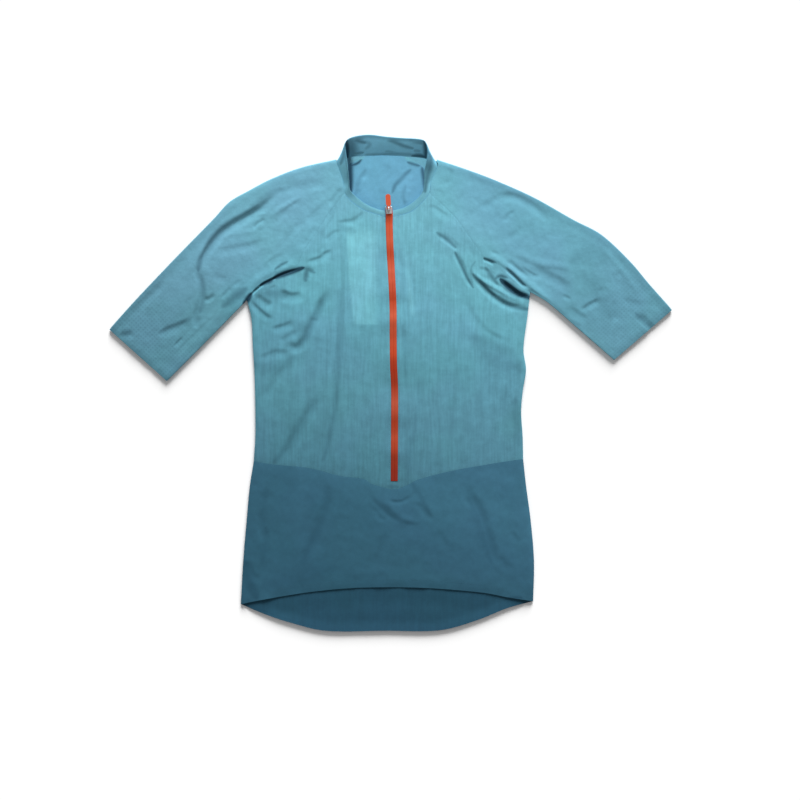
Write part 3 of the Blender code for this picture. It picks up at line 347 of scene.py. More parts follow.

# %% [markdown]
# A jersey that lies on a table is a stack of two layers. The upper one is low where it is sewn to the lower one or
# folds over at the shoulder, and puffs up to a low crown between. On top of that come the creases. Each one is a row
# in a table: how wide it is on each side, how high it stands (below zero for a trough), how keen its bottom or crest
# is, from 0 for a soft wave to 1 for a sharp fold, and the places that it passes. A simulation would give likely
# creases, but never these ones, so they are listed one by one.

# %% Table of creases, in millimetres
# Paths run to the right or upwards, so that the left of a path is above it or on the picture's left.
Crease = namedtuple("Crease", "where left right lift keen path")
CREASES = [Crease(*row) for row in (
    # left sleeve and shoulder
    ("left shoulder crease", 7, 14, -3.1, 0.4, [(-312, 171), (-306, 192), (-295, 212), (-284, 228), (-270, 243),
     (-253, 255), (-230, 268), (-209, 281), (-193, 294), (-179, 303)]),
    ("left shoulder, top", 13, 13, -0.6, 0, [(-195, 296), (-173, 309), (-148, 314), (-120, 318), (-99, 324)]),
    ("left shoulder, ridge", 8.4, 5, 0.8, 0.1, [(-195, 264), (-187, 270), (-176, 278), (-160, 288), (-140, 300)]),
    ("under that crease", 7, 14, -0.7, 0.1, [(-281, 211), (-241, 218), (-220, 222), (-195, 233)]),
    ("over that one", 8, 6, 0.3, 0.1, [(-278, 228), (-259, 237), (-233, 241), (-205, 247)]),
    ("left hook", 3, 4, -1.1, 0.4, [(-219, 245), (-216, 253), (-209, 258), (-203, 261), (-199, 258)]),
    ("inside the hook", 5.9, 4.2, 0.4, 0.1, [(-210, 246), (-205, 251), (-200, 250)]),
    ("over the hook", 5.9, 4.2, 0.4, 0.2, [(-221, 263), (-213, 270), (-205, 271), (-197, 267)]),
    ("left underarm seam", 7.8, 5.6, 0.4, 0.2, [(-348, 51), (-332, 66), (-319, 78), (-307, 90), (-294, 102),
     (-283, 112), (-276, 124), (-274, 137), (-267, 148), (-255, 160)]),
    ("down from the crease", 8, 10.3, -1.5, 0.1, [(-315, 88), (-313, 104), (-309, 120), (-304, 136), (-303, 156),
     (-308, 174), (-311, 192)]),
    ("beside it, high", 5.8, 7.1, -1.2, 0.2, [(-300, 133), (-290, 135), (-281, 143)]),
    ("beside it, upper dash", 4.2, 8.7, -0.7, 0.2, [(-270, 136), (-263, 145), (-255, 154)]),
    ("by the lap", 4.2, 6.5, -0.5, 0.2, [(-250, 156), (-245, 161), (-242, 167)]),
    ("beside it, low", 6.9, 14.3, -1.5, 0.1, [(-373, 74), (-360, 84), (-349, 89), (-336, 93), (-320, 102)]),
    ("beside it, middle", 5.6, 8.7, -0.6, 0.2, [(-312, 88), (-310, 96), (-308, 106)]),
    ("left cuff dash", 3.4, 7.1, -1.1, 0.4, [(-346, 59), (-340, 66), (-332, 74)]),
    ("along the left shoulder", 8, 10, -0.7, 0, [(-422, 104), (-399, 127), (-375, 149), (-356, 170)]),
    ("left elbow dash", 5.6, 13, -0.6, 0.2, [(-284, 176), (-271, 170), (-258, 166)]),
    ("left raglan hollow", 9, 10, -0.5, 0, [(-177, 216), (-168, 228), (-153, 246), (-137, 262)]),
    ("left raglan, high", 7, 12.4, -0.5, 0.1, [(-137, 256), (-123, 271), (-110, 282), (-100, 290)]),
    ("left raglan, by the collar", 7, 13, -0.8, 0.1, [(-99, 284), (-88, 298), (-78, 313)]),
    ("left raglan, low", 5.6, 10.8, -0.5, 0.1, [(-144, 216), (-134, 228), (-126, 241), (-120, 252)]),
    ("left raglan, ridge", 9.8, 5.6, 0.4, 0.1, [(-115, 234), (-104, 254), (-92, 273), (-83, 287)]),
    ("left sleeve head", 6, 9.3, -0.4, 0.1, [(-190, 253), (-181, 262), (-169, 272), (-160, 279)]),
    # left armpit: the sleeve laps over the front here
    ("left lap, roll", 11, 8, 0.8, 0, [(-230, 144), (-217, 160), (-206, 170), (-197, 175), (-180, 182), (-160, 189),
     (-143, 194)]),
    ("left lap, trench", 2.8, 3.6, -2.4, 0, [(-230, 132), (-224, 140), (-215, 150), (-204, 159), (-195, 164),
     (-185, 169), (-172, 175), (-160, 179), (-144, 183)]),
    ("left lap, second line", 4.2, 8.7, -0.5, 0.1, [(-184, 180), (-175, 187), (-164, 193)]),
    ("over the lap", 5.6, 10.8, -0.5, 0.2, [(-197, 191), (-187, 198), (-171, 207)]),
    ("left dimple", 6, 9.3, -0.8, 0.1, [(-135, 165), (-133, 172), (-132, 181), (-136, 187)]),
    ("beside the dimple", 5.6, 10.8, -0.5, 0.1, [(-134, 181), (-128, 180), (-122, 178)]),
    ("left chest crease", 4.6, 10.7, -1.1, 0.3, [(-137, 193), (-124, 197), (-112, 201), (-104, 208), (-90, 212)]),
    ("left chest, high", 5.6, 13, -0.7, 0.3, [(-106, 227), (-95, 237), (-87, 242), (-78, 242)]),
    ("under the left lap", 4.6, 10.7, -1.5, 0.3, [(-225, 133), (-216, 123), (-205, 113), (-196, 106), (-186, 104)]),
    ("left puff, upper hollow", 6.9, 16, -1.5, 0, [(-179, 146), (-170, 144), (-160, 140), (-149, 141), (-142, 146)]),
    ("its tail", 4.2, 8.7, -0.5, 0.1, [(-173, 130), (-171, 135), (-167, 141)]),
    ("left puff, dash", 6.9, 14.3, -1.4, 0.1, [(-216, 141), (-207, 134), (-199, 129), (-188, 124)]),
    ("small pleats", 3.4, 5.2, -0.5, 0.2, [(-203, 146), (-202, 153), (-204, 158)]),
    ("small pleats, right", 3.4, 6.5, -0.4, 0.2, [(-192, 150), (-188, 154), (-183, 155)]),
    ("left puff, lower dash", 4.6, 12.5, -1.3, 0.2, [(-191, 85), (-180, 90), (-168, 93), (-157, 100)]),
    ("left chest arc", 9, 13, -2.6, 0.1, [(-172, 65), (-162, 60), (-149, 58), (-140, 68), (-134, 80), (-126, 97),
     (-118, 113), (-112, 126), (-104, 140), (-98, 156)]),
    ("across the arc", 3.6, 6.5, -0.6, 0.4, [(-129, 103), (-123, 102), (-115, 101)]),
    ("end of the arc", 5.6, 10.8, -0.7, 0.2, [(-180, 67), (-170, 72), (-159, 78), (-147, 83)]),
    ("under the arc", 6, 14, -0.8, 0.1, [(-213, 38), (-197, 45), (-182, 50), (-158, 48)]),
    ("left puff", 17.2, 16.1, 1.2, 0, [(-146, 80), (-142, 109), (-140, 135), (-143, 160)]),
    # right armpit
    ("right lap, roll", 10, 6, 0.9, 0, [(144, 201), (154, 203), (167, 199), (181, 190), (196, 179), (212, 165),
     (227, 153), (242, 140), (263, 129)]),
    ("under the roll, left", 3.4, 4.4, -1.6, 0.3, [(146, 199), (155, 196), (166, 191)]),
    ("under the roll, right", 3.6, 5, -1.6, 0.2, [(182, 185), (192, 176), (201, 168), (211, 158), (219, 152)]),
    ("over the second roll", 7.8, 5.6, 0.3, 0.1, [(172, 192), (184, 178), (196, 166), (207, 154)]),
    ("fold in the armpit", 4.2, 8.7, -0.6, 0.1, [(170, 169), (176, 169), (184, 166)]),
    ("arc in the armpit", 5.6, 10.8, -0.5, 0.1, [(156, 174), (163, 164), (171, 156), (181, 154)]),
    ("behind the ridge", 4.2, 8.7, -0.6, 0.1, [(139, 184), (149, 182), (158, 178)]),
    ("right gap", 5.6, 5.4, -3, 0, [(175, 165), (181, 160), (190, 153), (200, 145), (210, 140), (224, 138)]),
    ("beside the gap", 7.8, 4.2, 0.3, 0.1, [(193, 155), (202, 150), (214, 145)]),
    ("right pocket ridge", 8, 5, 1, 0.1, [(144, 206), (134, 195), (131, 181), (138, 169), (151, 161), (171, 150),
     (191, 138), (207, 132), (220, 126)]),
    ("under that ridge", 5, 10, -2.2, 0.3, [(130, 174), (139, 165), (148, 156), (157, 146), (167, 138), (179, 130),
     (192, 125), (205, 123), (219, 120)]),
    ("right chest crease", 6.9, 7.1, -1.5, 0.3, [(135, 154), (127, 159), (121, 169), (116, 183), (108, 199),
     (102, 212)]),
    ("right chest crease, high", 6, 10.8, -1, 0.1, [(111, 211), (99, 221), (88, 230), (75, 238)]),
    ("lens by the crease", 3.4, 5.2, -0.4, 0.2, [(130, 161), (128, 172), (129, 184), (134, 194)]),
    ("over the right roll", 5.6, 8.7, -0.5, 0.1, [(180, 196), (202, 183), (225, 167)]),
    ("over its end", 4.2, 6.5, -0.5, 0.2, [(159, 210), (166, 209), (174, 206)]),
    ("right sleeve head", 7, 13, -0.5, 0.2, [(184, 231), (199, 240), (212, 251)]),
    # right sleeve
    ("right elbow hollow", 10, 14, -0.9, 0, [(222, 188), (237, 181), (252, 172), (269, 163), (280, 156),
     (293, 144)]),
    ("beside the roll", 4.2, 8.7, -0.7, 0.2, [(208, 187), (217, 180), (227, 174), (238, 169)]),
    ("over the roll, dark", 5.6, 6.5, -0.6, 0.1, [(183, 199), (195, 191), (206, 180), (219, 169)]),
    ("over that hollow", 10, 8, 0.6, 0, [(193, 211), (222, 198), (243, 191), (277, 186), (297, 178)]),
    ("right underarm dash", 3.6, 7.4, -0.6, 0.3, [(274, 141), (281, 138), (289, 134)]),
    ("right cuff crease", 3.4, 10.7, -1.3, 0.3, [(303, 116), (312, 123), (322, 129), (335, 135)]),
    ("along the underarm", 7, 13, -0.6, 0.1, [(282, 123), (295, 113), (305, 107), (316, 100)]),
    ("right cuff, high", 6.4, 13, -0.5, 0.1, [(372, 135), (385, 130), (403, 125)]),
    ("right cuff, middle", 7, 13, -0.7, 0.1, [(358, 97), (357, 115), (356, 134)]),
    ("right cuff, low", 9, 11, -1, 0, [(396, 110), (408, 98), (421, 85)]),
    ("ridge to the cuff", 8, 7, 0.4, 0.1, [(330, 227), (352, 202), (372, 176), (388, 153), (399, 134)]),
    ("right elbow, upright", 5.6, 8.7, -0.4, 0.1, [(320, 166), (318, 182), (317, 196)]),
    ("right elbow spot", 7, 13, -0.5, 0.1, [(331, 145), (338, 149), (346, 153)]),
    ("right elbow, high", 7, 13, -0.4, 0.1, [(350, 169), (360, 174), (370, 179)]),
    ("right shoulder crease", 9, 12, -1, 0.1, [(156, 301), (178, 300), (200, 298), (223, 286), (261, 257)]),
    ("left cuff hollow", 9, 9, -1, 0, [(-434, 81), (-422, 76), (-410, 81)]),
    ("right waist", 14, 14, -0.7, 0, [(138, 78), (160, 59), (182, 47), (204, 47)]),
    ("right hook", 4.5, 7.8, -0.8, 0.4, [(181, 257), (185, 265), (190, 271), (199, 275)]),
    ("right shoulder, slow", 6, 10.8, -0.6, 0.1, [(142, 279), (158, 289), (174, 299)]),
    ("pit by the collar", 5.6, 8.7, -0.6, 0.2, [(83, 319), (91, 322), (96, 332), (97, 345)]),
    ("right raglan line", 5.6, 10.8, -0.5, 0.1, [(57, 279), (67, 281), (78, 275), (95, 263)]),
    # front
    ("neckline crease", 5.6, 10.8, -0.8, 0.2, [(-89, 255), (-73, 258), (-58, 261), (-38, 277)]),
    ("left front hollow", 13.8, 10.3, -1.5, 0.1, [(-100, -121), (-90, -48), (-85, 17), (-81, 92), (-77, 201)]),
    ("ridge beside it", 8, 8, 0.8, 0, [(-111, -86), (-102, -27), (-99, 17), (-97, 69), (-95, 134)]),
    ("left waist hollow", 13.8, 16.1, -1.6, 0, [(-176, -130), (-157, -92), (-136, -54), (-107, -12)]),
    ("beside the zip", 8, 9, -0.9, 0.1, [(29, -155), (34, -115), (38, -75), (44, -27), (42, 28)]),
    ("right chest, low", 5.6, 17.4, -0.7, 0.2, [(116, 137), (132, 110), (153, 85), (187, 65)]),
    ("right front, wide", 13, 16, -0.6, 0, [(94, -110), (98, -50), (90, 14), (86, 78)]),
    ("right waist, wide", 12, 12, -0.6, 0, [(163, -110), (171, -67), (184, -24), (202, 17)]),
    ("left side, wide", 9, 11, -0.6, 0, [(-205, -31), (-192, -4), (-175, 18), (-155, 32)]),
    # hem panel
    ("left hem hollow", 14.9, 11.5, -1.3, 0, [(-131, -287), (-121, -253), (-110, -221), (-101, -190), (-97, -158)]),
    ("hem, left side", 10, 12, -1, 0, [(-197, -264), (-206, -229), (-203, -198), (-197, -160)]),
    ("left hem corner", 7, 10.8, -0.6, 0.1, [(-228, -280), (-224, -295), (-219, -307), (-205, -313)]),
    ("zip end, roll", 10, 5, 0.5, 0.1, [(-14, -185), (-3, -196), (10, -208), (25, -218), (45, -220)]),
    ("zip end, under the roll", 6.3, 21.7, -0.5, 0.1, [(-22, -188), (-9, -201), (2, -213), (15, -223), (32, -227),
     (54, -225)]),
    ("zip end, left", 5.6, 7.8, -0.5, 0.2, [(-35, -176), (-25, -190), (-12, -203), (14, -224)]),
    ("zip end, left dash", 4.2, 8.7, -0.6, 0.2, [(-27, -196), (-20, -208), (-10, -221)]),
    ("zip end, arc", 3.9, 6.9, -0.6, 0.2, [(-5, -186), (5, -189), (19, -188), (32, -179)]),
    ("zip end, right", 5.6, 9.5, -0.7, 0.2, [(41, -188), (52, -202), (69, -220)]),
    ("under the zip, right", 7, 15.2, -0.5, 0.1, [(76, -235), (84, -249), (94, -266)]),
    ("right hem hollow", 16.1, 12.6, -1.3, 0, [(168, -296), (162, -264), (153, -233), (143, -205), (128, -181),
     (114, -157)]),
    ("right hem dash", 7, 13, -0.5, 0.1, [(176, -274), (181, -288), (199, -296)]),
    ("hem, right side", 7, 10.8, -0.5, 0, [(192, -236), (199, -246), (209, -255)]),
    ("hem, middle", 12, 12, -0.6, 0, [(-29, -303), (-18, -271), (-11, -248), (-1, -231)]),
)]
INSIDE_BACK_CREASES = [Crease(*row) for row in (  # of the back, seen through the neck
    ("right, long", 5, 12, -0.9, 0, [(7, 304), (13, 314), (22, 324), (34, 333)]),
    ("left", 7, 7, 0.6, 0, [(-52, 305), (-47, 318), (-42, 331)]),
    ("right, low", 5, 7, 0.6, 0, [(24, 288), (24, 299), (30, 312)]),
)]
CREASE_STEP = 3.0 * MM  # distance between the points that a crease's path is measured at
CREASE_END = 0.25  # share of a crease over which it fades at each end


def crease_path(crease):
    places = np.array(crease.path) * MM
    length = np.linalg.norm(np.diff(places, axis=0), axis=1).sum()
    return evenly(places, max(4, round(length / CREASE_STEP)))


FACE_CREASES = [(crease, crease_path(crease)) for crease in CREASES]
BACK_CREASES = [(crease, crease_path(crease)) for crease in INSIDE_BACK_CREASES]


def crease_lift(table, places):
    """How much the creases raise or lower the cloth at each place, in metres."""
    lift = np.zeros(len(places))
    for crease, path in table:
        reach = max(crease.left, crease.right) * MM
        near = np.all((places > path.min(0) - reach) & (places < path.max(0) + reach), axis=1)
        if not near.any():
            continue
        gap, side, far = nearest(path, places[near])
        width = np.where(side > 0, crease.left, crease.right) * MM
        across = np.clip(gap / width, 0, 1)
        soft = 0.5 + 0.5 * np.cos(np.pi * across)
        keen = (1 - across) ** 2
        ends = ease(far / CREASE_END) * ease((1 - far) / CREASE_END)
        lift[near] += crease.lift * MM * ends * (soft + (keen - soft) * crease.keen)
    return lift


print(len(CREASES) + len(INSIDE_BACK_CREASES), "creases")

# %% [markdown]
# Where a fold closes over itself, as at the armpits, hardly any light gets in, and the knit there looks almost black.
# A second table says where, as strokes of painted shade, some of them soft and wide across the panels. The cloth
# carries it as a mark on its points, from 0 in the open to 1 where it is hidden, and the material paints its colour
# darker by it. A strength below zero is a stroke of painted light, where light comes back from the cloth beside it.

# %% Painted shade and light, in millimetres
Shade = namedtuple("Shade", "where width strength path")
SHADES = [Shade(*row) for row in (
    ("left corner of the neck", 9, 1.2, [(-68, 380), (-67, 362), (-65, 342)]),
    ("left armpit, outer end", 7.6, 1.4, [(-235, 127), (-228, 135), (-223, 144)]),
    ("left armpit, small", 3.4, 0.6, [(-219, 148), (-211, 154)]),
    ("left armpit, lower", 6, 1.25, [(-208, 157), (-200, 161), (-193, 164), (-187, 168)]),
    ("left armpit, upper", 8, 1.45, [(-187, 168), (-179, 172), (-168, 176), (-155, 180), (-139, 185)]),
    ("line over it", 4.4, 0.5, [(-185, 182), (-176, 189), (-164, 195)]),
    ("under the roll, left", 4.2, 0.75, [(149, 200), (158, 197), (168, 193)]),
    ("under the roll, right", 4.8, 0.55, [(185, 185), (193, 178), (200, 170), (208, 162), (215, 157)]),
    ("right armpit", 11, 1.45, [(176, 166), (184, 159), (191, 153), (199, 147), (208, 142), (224, 137)]),
    ("fold in the armpit", 5.4, 0.65, [(167, 167), (172, 171), (178, 172), (186, 169)]),
    ("arc in the armpit", 8, 0.45, [(152, 185), (160, 174), (170, 159)]),
    ("under the ridge", 8.6, 0.62, [(132, 174), (143, 162), (154, 151), (168, 139), (183, 129), (199, 122),
     (224, 118)]),
    ("left shoulder crease", 8, 0.42, [(-300, 207), (-293, 220), (-286, 231), (-276, 243), (-264, 254), (-248, 264),
     (-230, 274), (-212, 286)]),
    ("its foot", 8, 0.5, [(-308, 180), (-305, 193), (-300, 207)]),
    ("its upper side", 9, 0.22, [(-225, 279), (-209, 292), (-190, 305), (-161, 313)]),
    ("left dimple", 8, 0.6, [(-136, 164), (-135, 172), (-134, 182)]),
    ("over it", 5.4, 0.5, [(-144, 186), (-134, 182), (-121, 177)]),
    ("right chest crease", 4.6, 0.62, [(132, 153), (123, 167), (116, 182), (108, 198), (103, 210)]),
    ("right chest crease, high", 6.4, 0.5, [(74, 241), (84, 234), (93, 227), (104, 217)]),
    ("lens by it", 2.8, 0.25, [(136, 196), (129, 185), (128, 172), (131, 159)]),
    ("neckline, soft", 11, 0.2, [(-84, 252), (-72, 247), (-57, 242)]),
    ("left raglan, soft", 9, 0.18, [(-97, 270), (-88, 286), (-80, 300)]),
    ("right waist, soft", 30, 0.24, [(133, 73), (167, 47), (208, 22)]),
    ("right side, soft", 16, 0.2, [(199, -26), (204, -66), (205, -98)]),
    ("right cuff, soft", 9, 0.35, [(392, 111), (407, 98), (418, 89)]),
    ("right elbow, soft", 24, 0.16, [(290, 194), (319, 210), (344, 194)]),
    ("right elbow, low", 22, 0.14, [(311, 172), (335, 146), (354, 105)]),
    ("along the right underarm, paler", 17, -0.17, [(224, 142), (271, 105), (316, 68), (356, 41)]),
    ("along the left underarm, paler", 12, -0.15, [(-264, 132), (-286, 105), (-312, 74), (-337, 47)]),
    ("right raglan, soft", 20, 0.13, [(66, 271), (95, 247), (130, 217), (167, 185)]),
    ("beside the zip, soft", 6, 0.2, [(21, 94), (23, 46), (24, -7)]),
    ("beside the zip's end", 9, 0.2, [(32, -84), (29, -122), (26, -161)]),
    ("under the left armpit, soft", 15, 0.2, [(-219, 134), (-206, 114), (-193, 98)]),
    ("in the left armpit", 16, 0.3, [(-216, 142), (-190, 145), (-164, 143)]),
    ("by the left armpit, soft", 15, 0.45, [(-268, 124), (-249, 138), (-232, 151)]),
    ("left side, soft", 22, 0.2, [(-216, 31), (-185, 25), (-155, 41)]),
    ("left waist hollow", 11, 0.25, [(-187, -126), (-169, -106), (-150, -74), (-126, -34)]),
    ("left front hollow", 8, 0.25, [(-107, -122), (-97, -82), (-88, -34), (-83, 18)]),
    ("left cuff, soft", 9, 0.3, [(-416, 84), (-430, 78)]),
    ("left sleeve, low", 8, 0.25, [(-369, 81), (-350, 90), (-318, 105)]),
    ("left sleeve, middle", 10, 0.3, [(-305, 114), (-299, 138), (-302, 166)]),
    ("left hem corner", 17, 0.36, [(-232, -286), (-227, -311), (-214, -342)]),
    ("left hem, soft", 12, 0.16, [(-206, -286), (-201, -258), (-200, -231)]),
    ("left hem hollow", 14, 0.2, [(-140, -287), (-131, -265), (-121, -242)]),
    ("right hem hollow", 11, 0.22, [(124, -183), (136, -210), (148, -247), (160, -286)]),
    ("right hem, soft", 14, 0.12, [(159, -222), (215, -231)]),
    ("left hem, low", 20, 0.16, [(-206, -326), (-148, -310), (-89, -294)]),
    ("middle of the hem, paler", 13, -0.09, [(-65, -316), (55, -310), (175, -324)]),
    ("left hem, paler", 22, -0.12, [(-144, -154), (-145, -215)]),
    ("right hem, paler", 20, -0.1, [(143, -145), (194, -154)]),
    ("under the zip", 6, 0.28, [(-6, -164), (13, -166)]),
    ("right of it", 8, 0.22, [(29, -151), (44, -174), (63, -209)]),
    ("right hem corner", 5, 0.5, [(210, -342), (188, -343)]),
)]
# The same strokes of painted shade and light, for the inside of the back and the two sides of the collar
INSIDE_BACK_SHADES = [Shade(*row) for row in (
    ("crack beside the collar, left", 9, 1.2, [(-68, 388), (-66, 366), (-65, 338), (-64, 306)]),
    ("under the left corner", 4.2, 0.9, [(-65, 349), (-59, 350), (-52, 353), (-47, 358)]),
    ("under the right corner", 4.6, 0.65, [(27, 354), (36, 351), (46, 348)]),
    ("long fold", 6.4, 0.45, [(3, 306), (7, 317), (16, 326), (24, 335), (32, 342)]),
    ("right of it", 11, -0.12, [(13, 310), (23, 326), (34, 332)]),
    ("left fold", 7, 0.2, [(-57, 300), (-54, 314), (-48, 329), (-40, 342)]),
    ("right of it", 8, -0.08, [(-46, 306), (-43, 321), (-36, 334)]),
    ("right, low", 6, 0.2, [(23, 287), (20, 300), (24, 316)]),
    ("beside the collar, right", 6.5, 0.75, [(50, 345), (53, 329), (55, 310)]),
    ("soft, high", 6, 0.1, [(-12, 350), (-1, 346)]),
    ("soft, low", 7, 0.1, [(-19, 310), (-8, 306)]),
)]
INSIDE_COLLAR_SHADES = [Shade(*row) for row in (
    ("left corner", 10, 1, [(-72, 392), (-69, 377), (-69, 360)]),
    ("left corner, soft", 17, 0.6, [(-66, 394), (-62, 377), (-62, 358)]),
    ("left, top", 6, 0.65, [(-65, 389), (-54, 387), (-40, 384)]),
    ("left, base", 4.4, 0.6, [(-64, 367), (-54, 368), (-44, 369)]),
    ("base", 5, 0.4, [(-40, 366), (-17, 366), (7, 367), (23, 366), (44, 365)]),
    ("right, base", 6, 0.85, [(34, 364), (46, 364), (57, 362)]),
    ("long streak", 5, 0.55, [(-9, 390), (8, 384), (21, 379), (36, 375)]),
    ("right streak", 5.4, 0.65, [(29, 389), (44, 385), (55, 382)]),
    ("right corner", 7, 0.85, [(52, 390), (56, 374), (55, 360)]),
    ("soft, left", 5, 0.3, [(-40, 386), (-33, 381), (-40, 375)]),
    ("soft, middle", 3.6, 0.3, [(-9, 371), (0, 370), (13, 367)]),
    ("soft, right", 4, 0.35, [(37, 372), (47, 371)]),
)]
OUTSIDE_COLLAR_SHADES = [Shade(*row) for row in (
    ("right side", 8, 0.6, [(57, 372), (64, 360), (63, 346), (58, 328), (55, 306)]),
    ("left corner", 6, 0.45, [(-80, 350), (-75, 364), (-70, 376)]),
)]
GREEN_CORNERS = [Shade(*row) for row in (  # greener places of the inside back
    ("left", 10, 1, [(-68, 360), (-56, 361), (-44, 363)]),
    ("right", 10, 1, [(25, 361), (38, 359), (52, 356)]),
)]
STROKE_STEPS = 24
STROKE_END = 0.4  # a stroke's width at its ends, as a share of its full width


def hidden(places, table=SHADES):
    """How much painted shade the strokes give each place, from 0 to 1, or below 0 where painted light makes it paler. A
    stroke narrows towards its ends. A strength above 1 gives it a wide dark middle."""
    most = np.zeros(len(places))
    least = np.zeros(len(places))
    for shade in table:
        path = smooth(np.array(shade.path) * MM, np.linspace(0, len(shade.path) - 1, STROKE_STEPS))
        gap, _, far = nearest(path, places)
        width = shade.width * MM * (STROKE_END + (1 - STROKE_END) * np.sqrt(np.sin(math.pi * far)))
        stroke = np.clip(shade.strength * (1 - ease(gap / width)), -1, 1)
        most = np.maximum(most, stroke)
        least = np.minimum(least, stroke)
    return most + least


print(len(SHADES + INSIDE_BACK_SHADES + INSIDE_COLLAR_SHADES + OUTSIDE_COLLAR_SHADES), "strokes of shade")

# %% [markdown]
# No cloth is quite smooth between its creases. A sum of a few slow waves, each with its own direction and length,
# gives a gentle unevenness that never repeats. The random numbers start from a fixed seed, so that the jersey is the
# same each time.

# %% Slow waves
WAVES = 14
SHORTEST, LONGEST = 0.7, 1.4  # of the waves in one sum, as shares of the length that is asked for


def ripples(places, length, seed, upright=1.0):
    """Smooth unevenness of about unit height, with waves of about the given length. upright above 1 stretches them
    along Y."""
    chance = np.random.default_rng(seed)
    total = np.zeros(len(places))
    for turn, scale, start in chance.uniform((0, SHORTEST, 0), (math.pi, LONGEST, math.tau), (WAVES, 3)):
        heading = np.array((math.cos(turn), math.sin(turn) / upright)) * math.tau / (length * scale)
        total += np.cos(places @ heading + start)
    return total / math.sqrt(WAVES)


# %% [markdown]
# The height of the front face is one function of the place, whichever panel it is on. So panels always meet along
# their seams, and the zip and the stitches know how high the cloth is under them.

# %% Height of the face
CLOTH = 0.0008  # thickness of the knit
LOWER_LAYER = 0.0011  # the upper layer's inner side is nowhere lower than this
SEWN_EDGE = 0.0041  # height of the face where front and back are sewn together
ARM_EDGE = 0.0049  # and where the sleeve's seam runs under the arm
TRENCH_FLOOR = 0.0021  # height of the face at the bottom of the deepest fold
FOLDED_EDGE = 0.0042  # height where the sleeve folds over at the shoulder
CROWN = 0.0057  # height away from all edges
ROLL_WIDTH = 0.010  # the face reaches the crown at this distance from an edge
CREASE_FADE = 0.006  # creases fade out over this distance from an edge
SEAM_DIP = 0.0001
SEAM_WIDTH = 0.0030
HEM_DROP = 0.0014  # the free edge of the front hem lies this much lower than the cloth above it
HEM_DROP_WIDTH = 0.028
CUFF_DROP = 0.0012
CUFF_DROP_WIDTH = 0.012
SLOT_ROLL = 0.0005  # the cloth rises beside the zip
SLOT_ROLL_PLACE = 0.0085  # from the middle of the zip
SLOT_ROLL_WIDTH = 0.0030
FACE_RIPPLES = [  # height, length, seed, and how much they are stretched along Y
    (0.00022, 0.050, 1, 1.8), (0.00012, 0.025, 3, 1.4), (0.00004, 0.011, 2, 1.3)]
ZIP_WAVES = [  # crests and troughs of the closed zip, in millimetres: place in Y, and how high the cloth is there
    (-156, 0.0), (-137, -0.4), (-111, 0.7), (-76, -0.7), (-50, 0.7), (-8, -0.8), (38, 0.8), (73, -0.8), (100, 0.7),
    (126, -0.7), (146, 0.8), (198, -0.6), (222, 0.5), (240, 0.0)]
ZIP_WAVE_WIDTH = 0.022
# Painted shade that grows with how far a fold lies below the cloth around it:
SHADY_FROM = 0.0002  # cloth that lies this much deeper than its surroundings begins to be in their shade
SHADY_RANGE = 0.0030
SHADY_MOST = 0.40
EDGE_STEPS = 40
LONG_EDGE_STEPS = 60


def both(table):
    return [evenly(on_side(table, side), EDGE_STEPS) for side in SIDES]


NECK_CORNER = {side: neck_edge(np.array((0.0, 1.0)), f"{side} front end", f"{side} raglan")[-1] for side in SIDES}
FRONT_RAGLAN_PATH = {side: np.vstack([on_side(FRONT_RAGLAN, side), NECK_CORNER[side]]) for side in SIDES}
EDGES = (
    [(path, FOLDED_EDGE) for path in both(SHOULDER_LINE)]
    + [(path, ARM_EDGE) for path in both(UNDERARM)]
    + [(path, SEWN_EDGE) for path in both(SIDE) + both(HEM_SIDE)]
)
SEAMS = both(V_SEAM) + [evenly(FRONT_RAGLAN_PATH[side], LONG_EDGE_STEPS) for side in SIDES]
HEM_EDGE = evenly(whole_edge(HEM_FRONT_EDGE), LONG_EDGE_STEPS)
CUFFS = [np.array([on_side(UNDERARM, side)[0], on_side(SHOULDER_LINE, side)[0]]) for side in SIDES]


def zip_wave(places):
    """How much the zip's ripples raise the cloth beside it."""
    y, height = np.array(ZIP_WAVES).T * MM
    i = np.clip(np.searchsorted(y, places[:, 1]) - 1, 0, len(y) - 2)
    share = ease((places[:, 1] - y[i]) / (y[i + 1] - y[i]))
    lift = height[i] + (height[i + 1] - height[i]) * share
    return lift * np.exp(-((from_zip(places) / ZIP_WAVE_WIDTH) ** 2))


def dip(path, width, places):
    """1 on the path, falling to 0 at width from it."""
    return (1 - np.clip(how_near(path, places) / width, 0, 1)) ** 2


